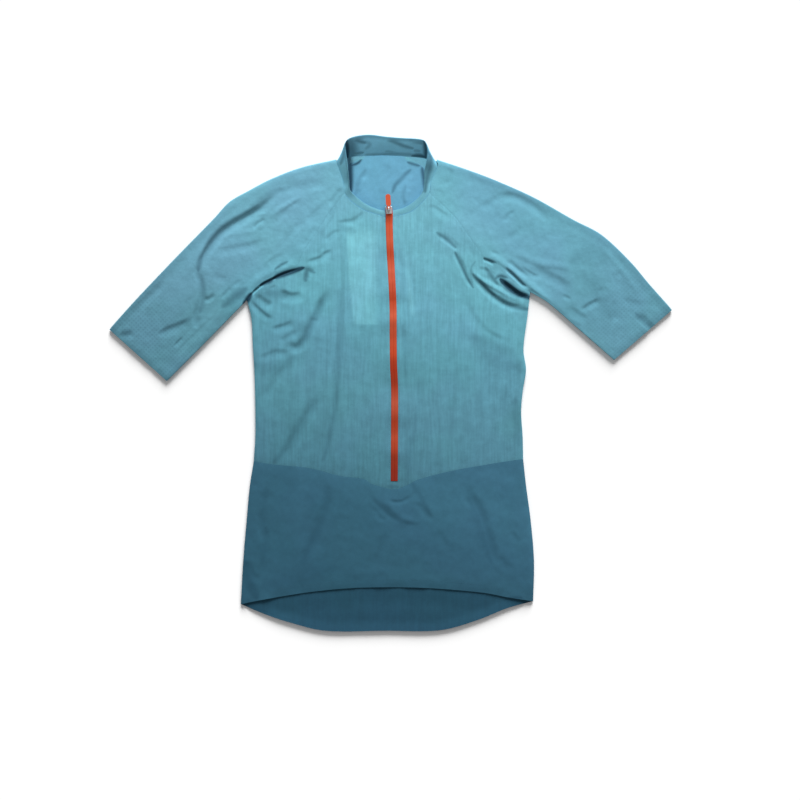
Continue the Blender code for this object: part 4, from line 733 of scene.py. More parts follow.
def face_height(places):
    """Height of the face over each place, and the painted shade of each place, from 0 to 1, or below 0 where painted
    light makes it paler."""
    height = np.full(len(places), CROWN)
    reach = np.full(len(places), 1.0)
    for path, edge in EDGES:
        gap = how_near(path, places)
        reach = np.minimum(reach, gap)
        rise = 1 - (1 - np.clip(gap / ROLL_WIDTH, 0, 1)) ** 3
        height = np.minimum(height, edge + (CROWN - edge) * rise)
    inside = ease(reach / CREASE_FADE)
    on_front = places[:, 1] > ZIP_LINE[0, 1]
    off_slot = np.abs(np.abs(from_zip(places)) - SLOT_ROLL_PLACE) / SLOT_ROLL_WIDTH
    height += on_front * SLOT_ROLL * (1 - ease(off_slot))
    height += inside * zip_wave(places)
    for size, length, seed, upright in FACE_RIPPLES:
        height += inside * size * ripples(places, length, seed, upright)
    height -= HEM_DROP * dip(HEM_EDGE, HEM_DROP_WIDTH, places)
    height -= CUFF_DROP * sum(dip(path, CUFF_DROP_WIDTH, places) for path in CUFFS)
    flat = height.copy()
    height += inside * crease_lift(FACE_CREASES, places)
    height -= SEAM_DIP * inside * np.minimum(1, sum(dip(path, SEAM_WIDTH, places) for path in SEAMS))
    height = np.maximum(height, TRENCH_FLOOR)
    # Painted shade: by the depth of the fold, and by the strokes of shade and light.
    depth = np.clip((flat - height - SHADY_FROM) / SHADY_RANGE, 0, 1)
    shade = hidden(places)
    return height, np.maximum(SHADY_MOST * depth, shade) + np.minimum(shade, 0)


chest_height = face_height(np.array([(-0.05, 0.15)]))[0][0]
print(f"the left of the chest lies {chest_height / MM:.1f} mm above the table")

# %% [markdown]
# Most panels have four sides, so their points form a grid. Straight lines are drawn from one side to the other, and
# the bends of the two remaining sides are added, fading with the distance from them. A pattern cutter would draw
# evenly spaced grain lines across a piece in the same way.

# %% Filling a panel with places
def patch(left, right, lower, upper, across, hold=1.0):
    """Rows of places that fill the space between four paths. across holds the share of each column. hold above 1
    keeps the upper path's bend near it."""
    up = np.linspace(0, 1, len(left))[:, None, None]
    share = across[:, None]
    bend_low = lower - (lower[0] * (1 - share) + lower[-1] * share)
    bend_high = upper - (upper[0] * (1 - share) + upper[-1] * share)
    straight = left[:, None] * (1 - share) + right[:, None] * share
    return straight + bend_low * (1 - up) ** hold + bend_high * up**hold


# %% [markdown]
# A shell of cloth starts as a flat grid, made by one operator. Extruding the whole grid gives it a second side and a
# rim, and then every point is moved to where it belongs. The second side lies one thickness of cloth behind the
# first, measured square to the surface, so that the cloth is as thick on a steep fold as on the flat. A UV map in
# metres follows the cloth, because a knit bends with its folds.

# %% Making shells of cloth
def square_to(points):
    """Unit vectors square to a grid of points, upwards over its first columns."""
    across = np.gradient(points, axis=1)
    up = np.gradient(points, axis=0)
    out = np.cross(across, up)
    out /= np.linalg.norm(out, axis=2, keepdims=True) + 1e-12
    return out * np.sign(out[:, : max(2, points.shape[1] // 4), 2].mean())


def raised(places, height):
    """A grid of points from a grid of places and the height of each."""
    return np.column_stack([places.reshape(-1, 2), height]).reshape(*places.shape[:2], 3)


def inner_side(outer, least=LOWER_LAYER):
    """The other side of the cloth, nowhere lower than least."""
    inner = outer - square_to(outer) * CLOTH
    inner[..., 2] = np.maximum(inner[..., 2], least)
    return inner


def half_area(mesh):
    """Area of one side of a closed shell."""
    areas = np.zeros(len(mesh.polygons), np.float32)
    mesh.polygons.foreach_get("area", areas)
    return areas.sum() / 2


def shell(name, outer, inner, uv, material, slit=None, sharp=70, **marks):
    """A closed shell of cloth between two grids of points. slit lists the cells that are left open, each a row and a
    column. Each mark is a number that the material can read, for each point of one side or of both."""
    rows, columns = outer.shape[:2]
    bm = bmesh.new()
    spot = bm.verts.layers.int.new("spot")
    bmesh.ops.create_grid(bm, x_segments=columns - 1, y_segments=rows - 1, size=1.0)
    for i, vert in enumerate(bm.verts):
        vert[spot] = i
    if slit:
        bm.faces.ensure_lookup_table()
        cells = [bm.faces[row * (columns - 1) + column] for row, column in slit]
        bmesh.ops.delete(bm, geom=cells, context="FACES")
    size = rows * columns
    for item in bmesh.ops.extrude_face_region(bm, geom=bm.faces[:])["geom"]:
        if isinstance(item, bmesh.types.BMVert):
            item[spot] += size
    points = np.concatenate([outer.reshape(-1, 3), inner.reshape(-1, 3)])
    for vert in bm.verts:
        vert.co = points[vert[spot]]
    bmesh.ops.recalc_face_normals(bm, faces=bm.faces)
    if bm.calc_volume(signed=True) < 0:
        bmesh.ops.reverse_faces(bm, faces=bm.faces)
    mesh = finished_mesh(name, bm, material)
    spots = np.zeros(len(mesh.vertices), np.int32)
    mesh.attributes["spot"].data.foreach_get("value", spots)
    mesh.attributes.remove(mesh.attributes["spot"])
    corners = np.zeros(len(mesh.loops), np.int32)
    mesh.loops.foreach_get("vertex_index", corners)
    layer = mesh.uv_layers.new(name="cloth")
    layer.data.foreach_set("uv", uv.reshape(-1, 2)[spots[corners] % size].astype(np.float32).ravel())
    for mark_name, values in marks.items():
        attribute = mesh.attributes.new(mark_name, "FLOAT", "POINT")
        attribute.data.foreach_set("value", np.resize(values, 2 * size)[spots].astype(np.float32))
    mesh.shade_smooth()
    mesh.set_sharp_from_angle(angle=math.radians(sharp))
    mesh.calc_loop_triangles()
    print(f"{name}: {len(mesh.loop_triangles)} triangles, {half_area(mesh):.4f} m2 of cloth")
    return place_in_scene(name, mesh)


# %% [markdown]
# A knit's colour is never flat. The material has the knit's colour with a painted fall-off of light, darker down the
# garment and towards its lower left, fine ribs or a mesh in the cloth's own UV map, a slow drift between a greener and
# a bluer tint, a fleck for each loop, and painted shade down in the folds. All of it is worked out from the UV map,
# the place on the object and the marks on its points, so it stays on the cloth from every side. A picture of the
# cloth would do it too, but it would blur close up.

# %% Tools for materials
def add_node(tree, kind, **settings):
    made = tree.nodes.new("ShaderNode" + kind)
    for name, value in settings.items():
        setattr(made, name, value)
    return made


def feed(tree, socket, value):
    """Links a value's socket to the given socket, or sets it if the value is a number or a colour."""
    if isinstance(value, bpy.types.NodeSocket):
        tree.links.new(value, socket)
    else:
        socket.default_value = value


def maths(tree, operation, first, second=0.0, third=0.0):
    made = add_node(tree, "Math", operation=operation)
    for socket, value in zip(made.inputs, (first, second, third)):
        feed(tree, socket, value)
    return made.outputs[0]


def product(tree, first, second, plus=0.0):
    """first times second, plus a third number."""
    return maths(tree, "MULTIPLY_ADD", first, second, plus)


def axes(tree, vector):
    """The X and the Y of a vector."""
    split = add_node(tree, "SeparateXYZ")
    feed(tree, split.inputs[0], vector)
    return split.outputs["X"], split.outputs["Y"]


def on_object(tree):
    return add_node(tree, "TexCoord").outputs["Object"]


def on_cloth(tree):
    return add_node(tree, "UVMap", uv_map="cloth").outputs["UV"]


def mark(tree, name):
    """The number that a piece's points carry under this name."""
    return add_node(tree, "Attribute", attribute_name=name).outputs["Fac"]


def wave(tree, distance, pitch):
    """From 0 to 1 and back over each pitch of a distance."""
    return product(tree, maths(tree, "SINE", product(tree, distance, math.tau / pitch)), 0.5, 0.5)


def ramp(tree, value, low, high):
    """Smoothly from 0 at low to 1 at high."""
    made = add_node(tree, "MapRange", interpolation_type="SMOOTHSTEP")
    feed(tree, made.inputs["Value"], value)
    made.inputs["From Min"].default_value = low
    made.inputs["From Max"].default_value = high
    return made.outputs["Result"]


def noise(tree, vector, scale, detail=2.0):
    made = add_node(tree, "TexNoise")
    feed(tree, made.inputs["Vector"], vector)
    made.inputs["Scale"].default_value = scale
    made.inputs["Detail"].default_value = detail
    return made.outputs["Fac"]


def uneven(tree, vector, scale, detail, amount):
    """A factor near 1 that drifts by half of amount to each side."""
    return product(tree, noise(tree, vector, scale, detail), amount, 1 - amount / 2)


def mixed_colour(tree, share, first, second, kind="MIX"):
    """Mixes two colours, each a socket or three numbers."""
    made = add_node(tree, "Mix", data_type="RGBA", blend_type=kind, clamp_factor=False)
    factor, a, b = (made.inputs[i] for i in (0, 6, 7))
    feed(tree, factor, share)
    for socket, colour in ((a, first), (b, second)):
        feed(tree, socket, colour if isinstance(colour, bpy.types.NodeSocket) else (*colour, 1.0))
    return made.outputs[2]


def scaled(tree, colour, factor):
    """A colour times a number."""
    made = add_node(tree, "VectorMath", operation="SCALE")
    feed(tree, made.inputs[0], colour)
    feed(tree, made.inputs["Scale"], factor)
    return made.outputs[0]


def gradient(tree, y, stops):
    """A colour that changes with y. stops are rows of a height and a colour."""
    made = add_node(tree, "ValToRGB")
    low = stops[0][0]
    high = stops[-1][0]
    feed(tree, made.inputs["Fac"], maths(tree, "DIVIDE", maths(tree, "SUBTRACT", y, low), high - low))
    points = made.color_ramp.elements
    while len(points) < len(stops):
        points.new(0.5)
    for point, (place, colour) in zip(points, stops):
        point.position = (place - low) / (high - low)
        point.color = (*colour, 1.0)
    return made.outputs["Color"]


def slanted_gradient(tree, stops, slant):
    """The same by the place on the object. slant raises the stops to the right."""
    x, y = axes(tree, on_object(tree))
    return gradient(tree, product(tree, x, slant, y), stops)


def add_bump(tree, shader, height, strength, distance):
    """Gives the surface a fine relief."""
    bump = add_node(tree, "Bump")
    bump.inputs["Strength"].default_value = strength
    bump.inputs["Distance"].default_value = distance
    feed(tree, bump.inputs["Height"], height)
    feed(tree, shader.inputs["Normal"], bump.outputs["Normal"])


# %% [markdown]
# One function makes all the knits. Its settings are what differs between them: the colours down the garment with
# their painted fall-off of light, how much the upright ribs show, and whether there is a dotted mesh near the cuff.

# %% Knits
LOOP_PITCH = 0.0013
RIB_SCALES = (300.0, 110.0)  # of the fine and the wide ribs
RIB_EDGES = (0.36, 0.64)  # of their noise: below the first is between two ribs, above the second is on one
RIB_SQUEEZE = 0.09  # lengths along the cloth count this much of their size in the noise, so the ribs are long
MESH_PITCH = 0.0052
MESH_FADE = (0.045, 0.150)  # it fades out between these distances from the cuff
TINT_SCALE = 9.0
TINT_EDGES = (0.35, 0.65)  # of its noise: the knit is greener below the first, and bluer above the second
FLECK = (700.0, 1.0, 0.16)  # scale, detail and amount
BLOTCH = (130.0, 3.0, 0.20)
WRINKLE_SCALE = 100.0
RELIEF = 0.0002  # height of the loops and the smallest wrinkles
RELIEF_STRENGTH = 0.6
# Painted shade: where the points' mark says so, the knit is painted towards this dark blue.
IN_THE_DARK = (0.0005, 0.021, 0.045)
DARKEST = 0.93  # share of that colour where a place is quite hidden
GREENER = (0.985, 1.012, 0.990)
BLUER = (1.035, 0.985, 1.020)


def rib_pattern(tree, cloth):
    """Upright ribs of uneven width, from 0 to 1."""
    drawn = add_node(tree, "VectorMath", operation="MULTIPLY")
    feed(tree, drawn.inputs[0], cloth)
    drawn.inputs[1].default_value = (1.0, RIB_SQUEEZE, 1.0)
    fine, wide = (noise(tree, drawn.outputs[0], scale, 1.0) for scale in RIB_SCALES)
    return ramp(tree, product(tree, fine, 0.5, product(tree, wide, 0.5)), *RIB_EDGES)


def knit(name, stops, slant=0.0, near=None, ribs=0.0, pale=None, cuff_mesh=0.0, drift=1.0, relief=1.0,
         crumpled=1.5):
    """A knitted cloth. stops are its colours by height in Y, the knit's own with a painted fall-off of light, which
    slant raises to the right. near is a second set of them and its slant, for where the piece's mark "far" is 0. ribs
    and cuff_mesh are how much darker each rib and dot is. pale is a paler colour by the piece's mark "pale": on the
    front a second layer close behind the cloth, on the collar painted light. crumpled is the height of its smallest
    wrinkles."""
    material, tree, shader = new_material(name, roughness=0.85, specular=0.18, sheen=0.05)
    place = on_object(tree)
    cloth = on_cloth(tree)
    u, v = axes(tree, cloth)
    colour = slanted_gradient(tree, stops, slant)
    if near:
        colour = mixed_colour(tree, mark(tree, "far"), slanted_gradient(tree, *near), colour)
    tint = ramp(tree, noise(tree, place, TINT_SCALE), *TINT_EDGES)
    tinted = mixed_colour(tree, 1.0, colour, mixed_colour(tree, tint, GREENER, BLUER), "MULTIPLY")
    colour = mixed_colour(tree, drift, colour, tinted)
    height = 0.0
    if ribs:
        pattern = rib_pattern(tree, cloth)
        colour = scaled(tree, colour, product(tree, pattern, -ribs, 1.0 + ribs * 0.5))
        height = product(tree, pattern, 0.5)
    if pale:
        colour = mixed_colour(tree, mark(tree, "pale"), colour, mixed_colour(tree, 1.0, colour, pale, "MULTIPLY"))
    if cuff_mesh:
        near_cuff = maths(tree, "SUBTRACT", 1.0, ramp(tree, u, *MESH_FADE))
        dots = product(tree, wave(tree, u, MESH_PITCH), wave(tree, v, MESH_PITCH))
        colour = scaled(tree, colour, product(tree, product(tree, dots, near_cuff), -cuff_mesh, 1.0))
    # Painted shade in the folds from the points' mark, and painted light where the mark is below 0.
    colour = mixed_colour(tree, product(tree, mark(tree, "deep"), DARKEST), colour, IN_THE_DARK)
    for drift_of_shade in (FLECK, BLOTCH):
        colour = scaled(tree, colour, uneven(tree, place, *drift_of_shade))
    feed(tree, shader.inputs["Base Color"], colour)

    loops = product(tree, wave(tree, u, LOOP_PITCH), wave(tree, v, LOOP_PITCH))
    wrinkles = product(tree, noise(tree, place, WRINKLE_SCALE), crumpled, height)
    add_bump(tree, shader, maths(tree, "ADD", loops, wrinkles), RELIEF_STRENGTH * relief, RELIEF)
    return material


# Colours by height in Y. Each is the knit's own colour with a painted fall-off of light: darker towards the hem and,
# where a slant is given, towards the lower left. The two sleeves are one knit, with painted light that differs between
# them.
FRONT_STOPS = [(-0.17, (0.046, 0.150, 0.203)), (-0.13, (0.059, 0.187, 0.247)), (-0.03, (0.081, 0.247, 0.314)),
               (0.05, (0.092, 0.284, 0.358)), (0.10, (0.110, 0.334, 0.417)), (0.16, (0.125, 0.370, 0.459)),
               (0.28, (0.152, 0.418, 0.518))]
LEFT_STOPS = [(0.02, (0.088, 0.240, 0.312)), (0.10, (0.091, 0.247, 0.318)), (0.16, (0.111, 0.290, 0.371)),
              (0.22, (0.137, 0.358, 0.458)), (0.33, (0.149, 0.388, 0.498))]
RIGHT_STOPS = [(0.05, (0.108, 0.295, 0.372)), (0.12, (0.110, 0.302, 0.388)), (0.17, (0.116, 0.317, 0.409)),
               (0.22, (0.130, 0.355, 0.461)), (0.33, (0.141, 0.387, 0.497))]
HEM_STOPS = [(-0.33, (0.021, 0.087, 0.134)), (-0.28, (0.023, 0.091, 0.139)), (-0.22, (0.025, 0.098, 0.150)),
             (-0.16, (0.034, 0.124, 0.187))]
INSIDE_HEM_STOPS = [(-0.40, (0.0090, 0.049, 0.082)), (-0.35, (0.0135, 0.066, 0.107))]
INSIDE_BACK_STOPS = [(0.20, (0.112, 0.330, 0.490)), (0.33, (0.130, 0.368, 0.525)), (0.37, (0.130, 0.372, 0.525))]
CORNER_STOPS = [(0.30, (0.150, 0.440, 0.530)), (0.40, (0.150, 0.440, 0.530))]
COLLAR_STOPS = [(0.26, (0.142, 0.405, 0.515)), (0.345, (0.146, 0.408, 0.530)), (0.365, (0.154, 0.438, 0.620)),
                (0.40, (0.156, 0.442, 0.635))]
FRONT_SLANT = 0.18
HEM_SLANT = 0.35

front_knit = knit("ribbed_knit", FRONT_STOPS, FRONT_SLANT, ribs=0.13, pale=(1.30, 1.24, 1.20))
left_knit = knit("left_sleeve_knit", LEFT_STOPS, near=(FRONT_STOPS, FRONT_SLANT), cuff_mesh=0.16, crumpled=4.0)
right_knit = knit("right_sleeve_knit", RIGHT_STOPS, near=(FRONT_STOPS, FRONT_SLANT), cuff_mesh=0.13, crumpled=3.0)
hem_knit = knit("smooth_deep_knit", HEM_STOPS, HEM_SLANT, drift=0.6, relief=0.5)
inside_hem_knit = knit("deep_knit_inside", INSIDE_HEM_STOPS, ribs=0.08, drift=0.5, relief=0.7)
inside_back_knit = knit("back_knit_inside", INSIDE_BACK_STOPS, near=(CORNER_STOPS, 0.0), drift=0.5)
# The collar's paler colour, by its mark, is painted light where the low light leaves it in shade.
collar_knit = knit("collar_knit", COLLAR_STOPS, pale=(1.60, 1.52, 1.42), drift=0.5, relief=0.7)
print(len(bpy.data.materials), "materials")

# %% [markdown]
# Each panel's rows run from the hem or cuff up to the collar, and its columns from the side seam inwards. Columns are
# closer together near the seam, where the deep folds of the armpits need them. The raglan seam has the same rows in
# both of its panels, so the two edges match.

# %% Rows and columns
SIDE_ROWS = 119  # from the V seam up to the armpit
ROWS_UNDER_ZIP = 7  # of these, below the lower end of the zip
RAGLAN_ROWS = 105
ARM_ROWS = 91
HALF_COLUMNS = 88  # of one half of the front
SLOT_COLUMNS = 3  # between its halves
UPPER_COLUMNS = 84  # of a sleeve's upper layer
ROLL_COLUMNS = 8  # round the fold at its shoulder
UNDER_COLUMNS = 14  # of its lower layer
CROWDING = 1.5  # above 1, columns crowd near the seam


def crowded(columns):
    return np.linspace(0, 1, columns + 1) ** CROWDING


TOWARDS_SLEEVE = {"left": 1, "right": -1}  # which side of a raglan path its sleeve lies on
BACK_CORNER = {side: NECKLINE[STATION[f"{side} back raglan"]] for side in SIDES}
BACK_RAGLAN_PATH = {side: np.vstack([on_side(BACK_RAGLAN, side), BACK_CORNER[side]]) for side in SIDES}
FRONT_SEAM = {side: evenly(FRONT_RAGLAN_PATH[side], RAGLAN_ROWS) for side in SIDES}
print("a sleeve's grid:", ARM_ROWS + RAGLAN_ROWS, "by", UPPER_COLUMNS + ROLL_COLUMNS + UNDER_COLUMNS, "cells")

# %% [markdown]
# The front is one piece with a slit for the zip. Its two halves are filled separately, because each has its own four
# sides, and three more columns close the space between them. Above the lower end of the zip those cells are left out.
# The pale patch on the chest is where a second layer of knit lies behind the first, so it is only a mark on the
# points, which the material turns into a lighter shade.

# %% Upper front
PATCH_LEFT = [(-0.0585, 0.0942), (-0.0666, 0.1656), (-0.0707, 0.2460)]  # the patch's left edge, from its foot up
PATCH_FOOT = 0.0942
PATCH_RIGHT = (-0.0150, -0.0320)  # it fades out between these
PATCH_TOP = (0.2560, 0.2300)
GLEAM = [(0.0355, 0.1060), (0.0290, 0.1650), (0.0230, 0.2240)]  # a narrow pale strip right of the zip
GLEAM_WIDTH = 0.0062
GLEAM_ENDS = (0.006, 0.09)  # it fades in over the first at its foot, and out over the second at its top
GLEAM_STRENGTH = 0.9
SOFT_EDGE = 0.0022
ZIP_STEPS = 2400
ZIP_STRIDE = 8  # every so many of those steps are enough to lay out the rows


def pale_mark(places):
    """How pale each place is, from 0 to 1."""
    x, y = places[:, 0], places[:, 1]
    patch_x, patch_y = np.array(PATCH_LEFT).T
    shown = ease((x - np.interp(y, patch_y, patch_x)) / SOFT_EDGE + 0.5)
    shown *= ease((PATCH_RIGHT[0] - x) / (PATCH_RIGHT[0] - PATCH_RIGHT[1]))
    shown *= ease((y - PATCH_FOOT) / SOFT_EDGE + 0.5)
    shown *= ease((PATCH_TOP[0] - y) / (PATCH_TOP[0] - PATCH_TOP[1]))
    gleam_x, gleam_y = np.array(GLEAM).T
    along_gleam = ease((y - gleam_y[0]) / GLEAM_ENDS[0]) * ease((gleam_y[-1] - y) / GLEAM_ENDS[1])
    across_gleam = 1 - ease(np.abs(x - np.interp(y, gleam_y, gleam_x)) / GLEAM_WIDTH)
    return np.clip(shown + GLEAM_STRENGTH * along_gleam * across_gleam, 0, 1)


def zip_middle():
    """Places along the middle of the zip, one for each row of the front from the zip's lower end up."""
    fine = evenly(ZIP_LINE, ZIP_STEPS)
    armpits = np.argmin(np.abs(fine[:, 1] - ZIP_AT_ARMPITS))
    below = evenly(fine[: armpits + 1 : ZIP_STRIDE], SIDE_ROWS - ROWS_UNDER_ZIP)
    return np.concatenate([below, evenly(fine[armpits::ZIP_STRIDE], RAGLAN_ROWS)[1:]])


def front_half(side):
    """Places of one half of the front, row by row, from its side seam to the zip."""
    across = crowded(HALF_COLUMNS)
    v_seam = along(on_side(V_SEAM, side), across) + (0, SEAM_GAP / 2)
    raglan_edge = beside(FRONT_SEAM[side], -TOWARDS_SLEEVE[side] * SEAM_GAP / 2)
    side_seam = evenly(on_side(SIDE, side), SIDE_ROWS)
    outer_edge = np.concatenate([v_seam[:1], side_seam[1:-1], raglan_edge])
    neck = neck_edge(across, f"{side} raglan", f"{side} front end")
    slot_edge = zip_middle() - (TOWARDS_SLEEVE[side] * (ZIP_WIDTH / 2 + SEAM_GAP), 0)
    under_zip = np.linspace(v_seam[-1], slot_edge[0], ROWS_UNDER_ZIP + 1)[:-1]
    zip_edge = np.concatenate([under_zip, slot_edge])
    zip_edge[-1] = neck[-1]
    return patch(outer_edge, zip_edge, v_seam, neck, across)


def front_places():
    left = front_half("left")
    right = front_half("right")[:, ::-1]
    shares = np.linspace(0, 1, SLOT_COLUMNS + 2)[1:-1, None]
    between = left[:, -1:] * (1 - shares) + right[:, :1] * shares
    return np.concatenate([left, between, right], axis=1)


def upper_front():
    places = front_places()
    flat = places.reshape(-1, 2)
    height, deep = face_height(flat)
    outer = raised(places, height)
    inner = inner_side(outer)
    inner[: SIDE_ROWS + 1, [0, -1], 2] = LOWER_LAYER
    slit = [
        (row, HALF_COLUMNS + column)
        for row in range(ROWS_UNDER_ZIP, len(places) - 1)
        for column in range(SLOT_COLUMNS + 1)
    ]
    return shell("upper_front", outer, inner, places, front_knit, slit=slit, pale=pale_mark(flat), deep=deep)


front = upper_front()
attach(front, "garment")
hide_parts("front_body")

# %% [markdown]
# A raglan sleeve is one piece from the cuff to the collar, closed into a tube by one seam under the arm. Here its
# rows run round the tube: over the top from the underarm seam, round the fold at the shoulder, and back underneath.

# %% Sleeves
# Painted shade along the folded edge at the shoulder
FOLD_SHADE = {  # how deep the shade is on the shoulder's fold: by share of the way from the cuff to the collar
    "left": ((0.0, 0.45, 0.65, 1.0), (0.36, 0.36, 0.16, 0.10)),
    "right": ((0.0, 0.8, 1.0), (0.36, 0.40, 0.14)),
}
FOLD_SHADE_WIDTH = 0.017
SEAM_TINT_WIDTH = 0.060  # the sleeve takes on the front's shade over this distance from the raglan seam
SEAM_STRIDE = 3  # every so many of the seam's points are enough to measure that distance
UP = np.array((0.0, 0.0, 1.0))


def unit(vectors):
    return vectors / np.linalg.norm(vectors, axis=1, keepdims=True)


def sleeve(side, name, material):
    turn = TOWARDS_SLEEVE[side]
    across = crowded(UPPER_COLUMNS)
    underneath = np.linspace(0, 1, UNDER_COLUMNS + 1)
    shoulder = evenly(on_side(SHOULDER_LINE, side), ARM_ROWS + RAGLAN_ROWS)
    underarm = evenly(on_side(UNDERARM, side), ARM_ROWS)
    back_seam = evenly(BACK_RAGLAN_PATH[side], RAGLAN_ROWS)
    upper_edge = np.concatenate([underarm[:-1], beside(FRONT_SEAM[side], turn * SEAM_GAP / 2)])
    under_edge = np.concatenate([underarm[:-1], beside(back_seam, turn * SEAM_GAP / 2)])
    centres = shoulder - unit(shoulder - upper_edge) * FOLDED_EDGE / 2
    neck = neck_edge(across, f"{side} raglan", f"{side} shoulder")
    cuff = upper_edge[0] + (centres[0] - upper_edge[0]) * across[:, None]
    upper = patch(upper_edge, centres, cuff, neck, across, hold=3)
    back_neck = neck_edge(underneath, f"{side} back corner", f"{side} back raglan", 0)
    back_neck[0] = centres[-1]
    cuff = centres[0] + (under_edge[0] - centres[0]) * underneath[:, None]
    under = patch(centres, under_edge, cuff, back_neck, underneath, hold=8)[:, 1:]

    flat = upper.reshape(-1, 2)
    height, deep = face_height(flat)
    over = raised(upper, height)
    radius = over[:, -1:, 2:] / 2
    angle = np.linspace(0, math.pi, ROLL_COLUMNS + 1)[:, None]
    away = unit(np.column_stack([centres - upper_edge, np.zeros(len(centres))]))
    spokes = away[:, None] * np.sin(angle) + UP * np.cos(angle)
    middle = np.concatenate([centres[:, None], radius], axis=2)
    lower = raised(under, np.zeros(under[..., 0].size))
    outer = np.concatenate([over, middle + spokes[:, 1:] * radius, lower], axis=1)
    last = over.shape[1]
    inner = inner_side(outer)
    inner[:ARM_ROWS, 0, 2] = LOWER_LAYER
    inner[:, last - 1 : last + ROLL_COLUMNS] = middle + spokes * (radius - CLOTH)
    inner[:, last + ROLL_COLUMNS :] = lower + UP * CLOTH

    cloth_u = lengths_along(shoulder)
    cloth_v = np.cumsum(np.linalg.norm(np.diff(outer, axis=1, prepend=outer[:, :1]), axis=2), axis=1)
    uv = np.stack(np.broadcast_arrays(cloth_u[:, None], cloth_v), axis=2)
    # Painted shade from the strokes and along the shoulder's fold
    shade = hidden(outer[..., :2].reshape(-1, 2)).reshape(outer.shape[:2])
    shade[:, :last] = deep.reshape(upper.shape[:2])
    by_fold = np.linalg.norm(outer[..., :2] - shoulder[:, None], axis=2)
    fold_shade = np.interp(cloth_u / cloth_u[-1], *FOLD_SHADE[side])[:, None] * (1 - ease(by_fold / FOLD_SHADE_WIDTH))
    shade = 1 - (1 - shade) * (1 - fold_shade)
    far = np.ones(outer.shape[:2])
    far[:, :last] = ease(how_near(FRONT_SEAM[side][::SEAM_STRIDE], flat) / SEAM_TINT_WIDTH).reshape(upper.shape[:2])
    return shell(name, outer, inner, uv, material, sharp=80, deep=shade, far=far)


left_sleeve = sleeve("left", "left_sleeve", left_knit)
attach(left_sleeve, "garment")
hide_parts("sleeve_left")
right_sleeve = sleeve("right", "right_sleeve", right_knit)
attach(right_sleeve, "garment")
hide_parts("sleeve_right")

# %% [markdown]
# The two hem panels are of a smoother, darker knit. The front one ends in a free edge that lies a little above the
# longer back one, so it throws a thin shadow on it. The back one shows its inner side there.

# %% Hem panels
HEM_ROWS = 84
BACK_HEM_ROWS = 60
BACK_HEM_COLUMNS = 130
BACK_HEM_EDGE_STEPS = 80
LAID_FLAT = LOWER_LAYER - 0.0002  # height of a back panel's inner side where nothing raises it
MEETING_RISE = 0.0017  # the back hem rises this much to meet the front one's free edge
MEETING_WIDTH = 0.032
MEETING_FADE = 0.03  # from the sides
TAIL_CURL = 0.0032  # the tail's free edge lifts off the table by this much
TAIL_CURL_WIDTH = 0.018
TAIL_CURL_FADE = 0.15  # share of the edge, at each end
TAIL_RIPPLE = (0.00012, 0.045, 5)  # height, length and seed
# Painted shade along the tail's curled edge, which would catch the light
TAIL_SHADE = 0.30
TAIL_SHADE_WIDTH = 0.012
CORNER_LIFT = 0.0016  # the front hem stands off the back one beside its corners
CORNER_PLACES = (-0.205, 0.198)
CORNER_WIDTH = 0.030


def front_hem():
    top = front_places()[0] - (0, SEAM_GAP)
    across = lengths_along(top)
    across /= across[-1]
    edge = along(whole_edge(HEM_FRONT_EDGE), across)
    left, right = (evenly(on_side(HEM_SIDE, side), HEM_ROWS) for side in SIDES)
    places = patch(left, right, top, edge, across)
    flat = places.reshape(-1, 2)
    height, deep = face_height(flat)
    by_edge = dip(HEM_EDGE, HEM_DROP_WIDTH, flat)
    for corner in CORNER_PLACES:
        height += CORNER_LIFT * by_edge * (1 - ease(np.abs(flat[:, 0] - corner) / CORNER_WIDTH))
    outer = raised(places, height)
    inner = inner_side(outer)
    inner[:, [0, -1], 2] = LOWER_LAYER
    return shell("front_hem", outer, inner, places, hem_knit, deep=deep)


def back_hem():
    across = np.linspace(0, 1, BACK_HEM_COLUMNS + 1)
    left, right = (evenly(on_side(HEM_SIDE, side), BACK_HEM_ROWS) for side in SIDES)
    top = left[0] + (right[0] - left[0]) * across[:, None] - (0, SEAM_GAP / 2)
    places = patch(left, right, top, along(whole_edge(HEM_BACK_EDGE), across), across)
    flat = places.reshape(-1, 2)
    size, length, seed = TAIL_RIPPLE
    wavy = np.clip(size * (1 + ripples(flat, length, seed)), 0, None)
    gap, _, far = nearest(evenly(whole_edge(HEM_BACK_EDGE), BACK_HEM_EDGE_STEPS), flat)
    ends = ease(far / TAIL_CURL_FADE) * ease((1 - far) / TAIL_CURL_FADE)
    curl = TAIL_CURL * (1 - np.clip(gap / TAIL_CURL_WIDTH, 0, 1)) ** 2 * ends
    from_side = np.minimum(*(how_near(path, flat) for path in both(HEM_SIDE)))
    meet = MEETING_RISE * (1 - ease(how_near(HEM_EDGE, flat) / MEETING_WIDTH)) * ease(from_side / MEETING_FADE)
    outer = raised(places, LAID_FLAT + wavy + curl + meet)
    inner = outer - UP * LAID_FLAT
    # painted shade along the curled edge
    by_edge = TAIL_SHADE * (1 - ease(gap / TAIL_SHADE_WIDTH))
    return shell("back_hem", outer, inner, places, inside_hem_knit, deep=by_edge)


hem = front_hem()
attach(hem, "garment")
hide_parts("hem_front")
tail = back_hem()
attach(tail, "garment")
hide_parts("hem_back")

# %% [markdown]
# Through the neck one looks at the inner side of the back. It lies flat on the table, except where a few folds stand
# up from it. Its rows are close together near the neck, where it shows, and wide apart where the front covers it.

# %% Upper back
BACK_SIDE_ROWS = 40
BACK_RAGLAN_ROWS = 110
BACK_COLUMNS = 96
BACK_RIPPLE = (0.0001, 0.03, 7)  # height, length and seed


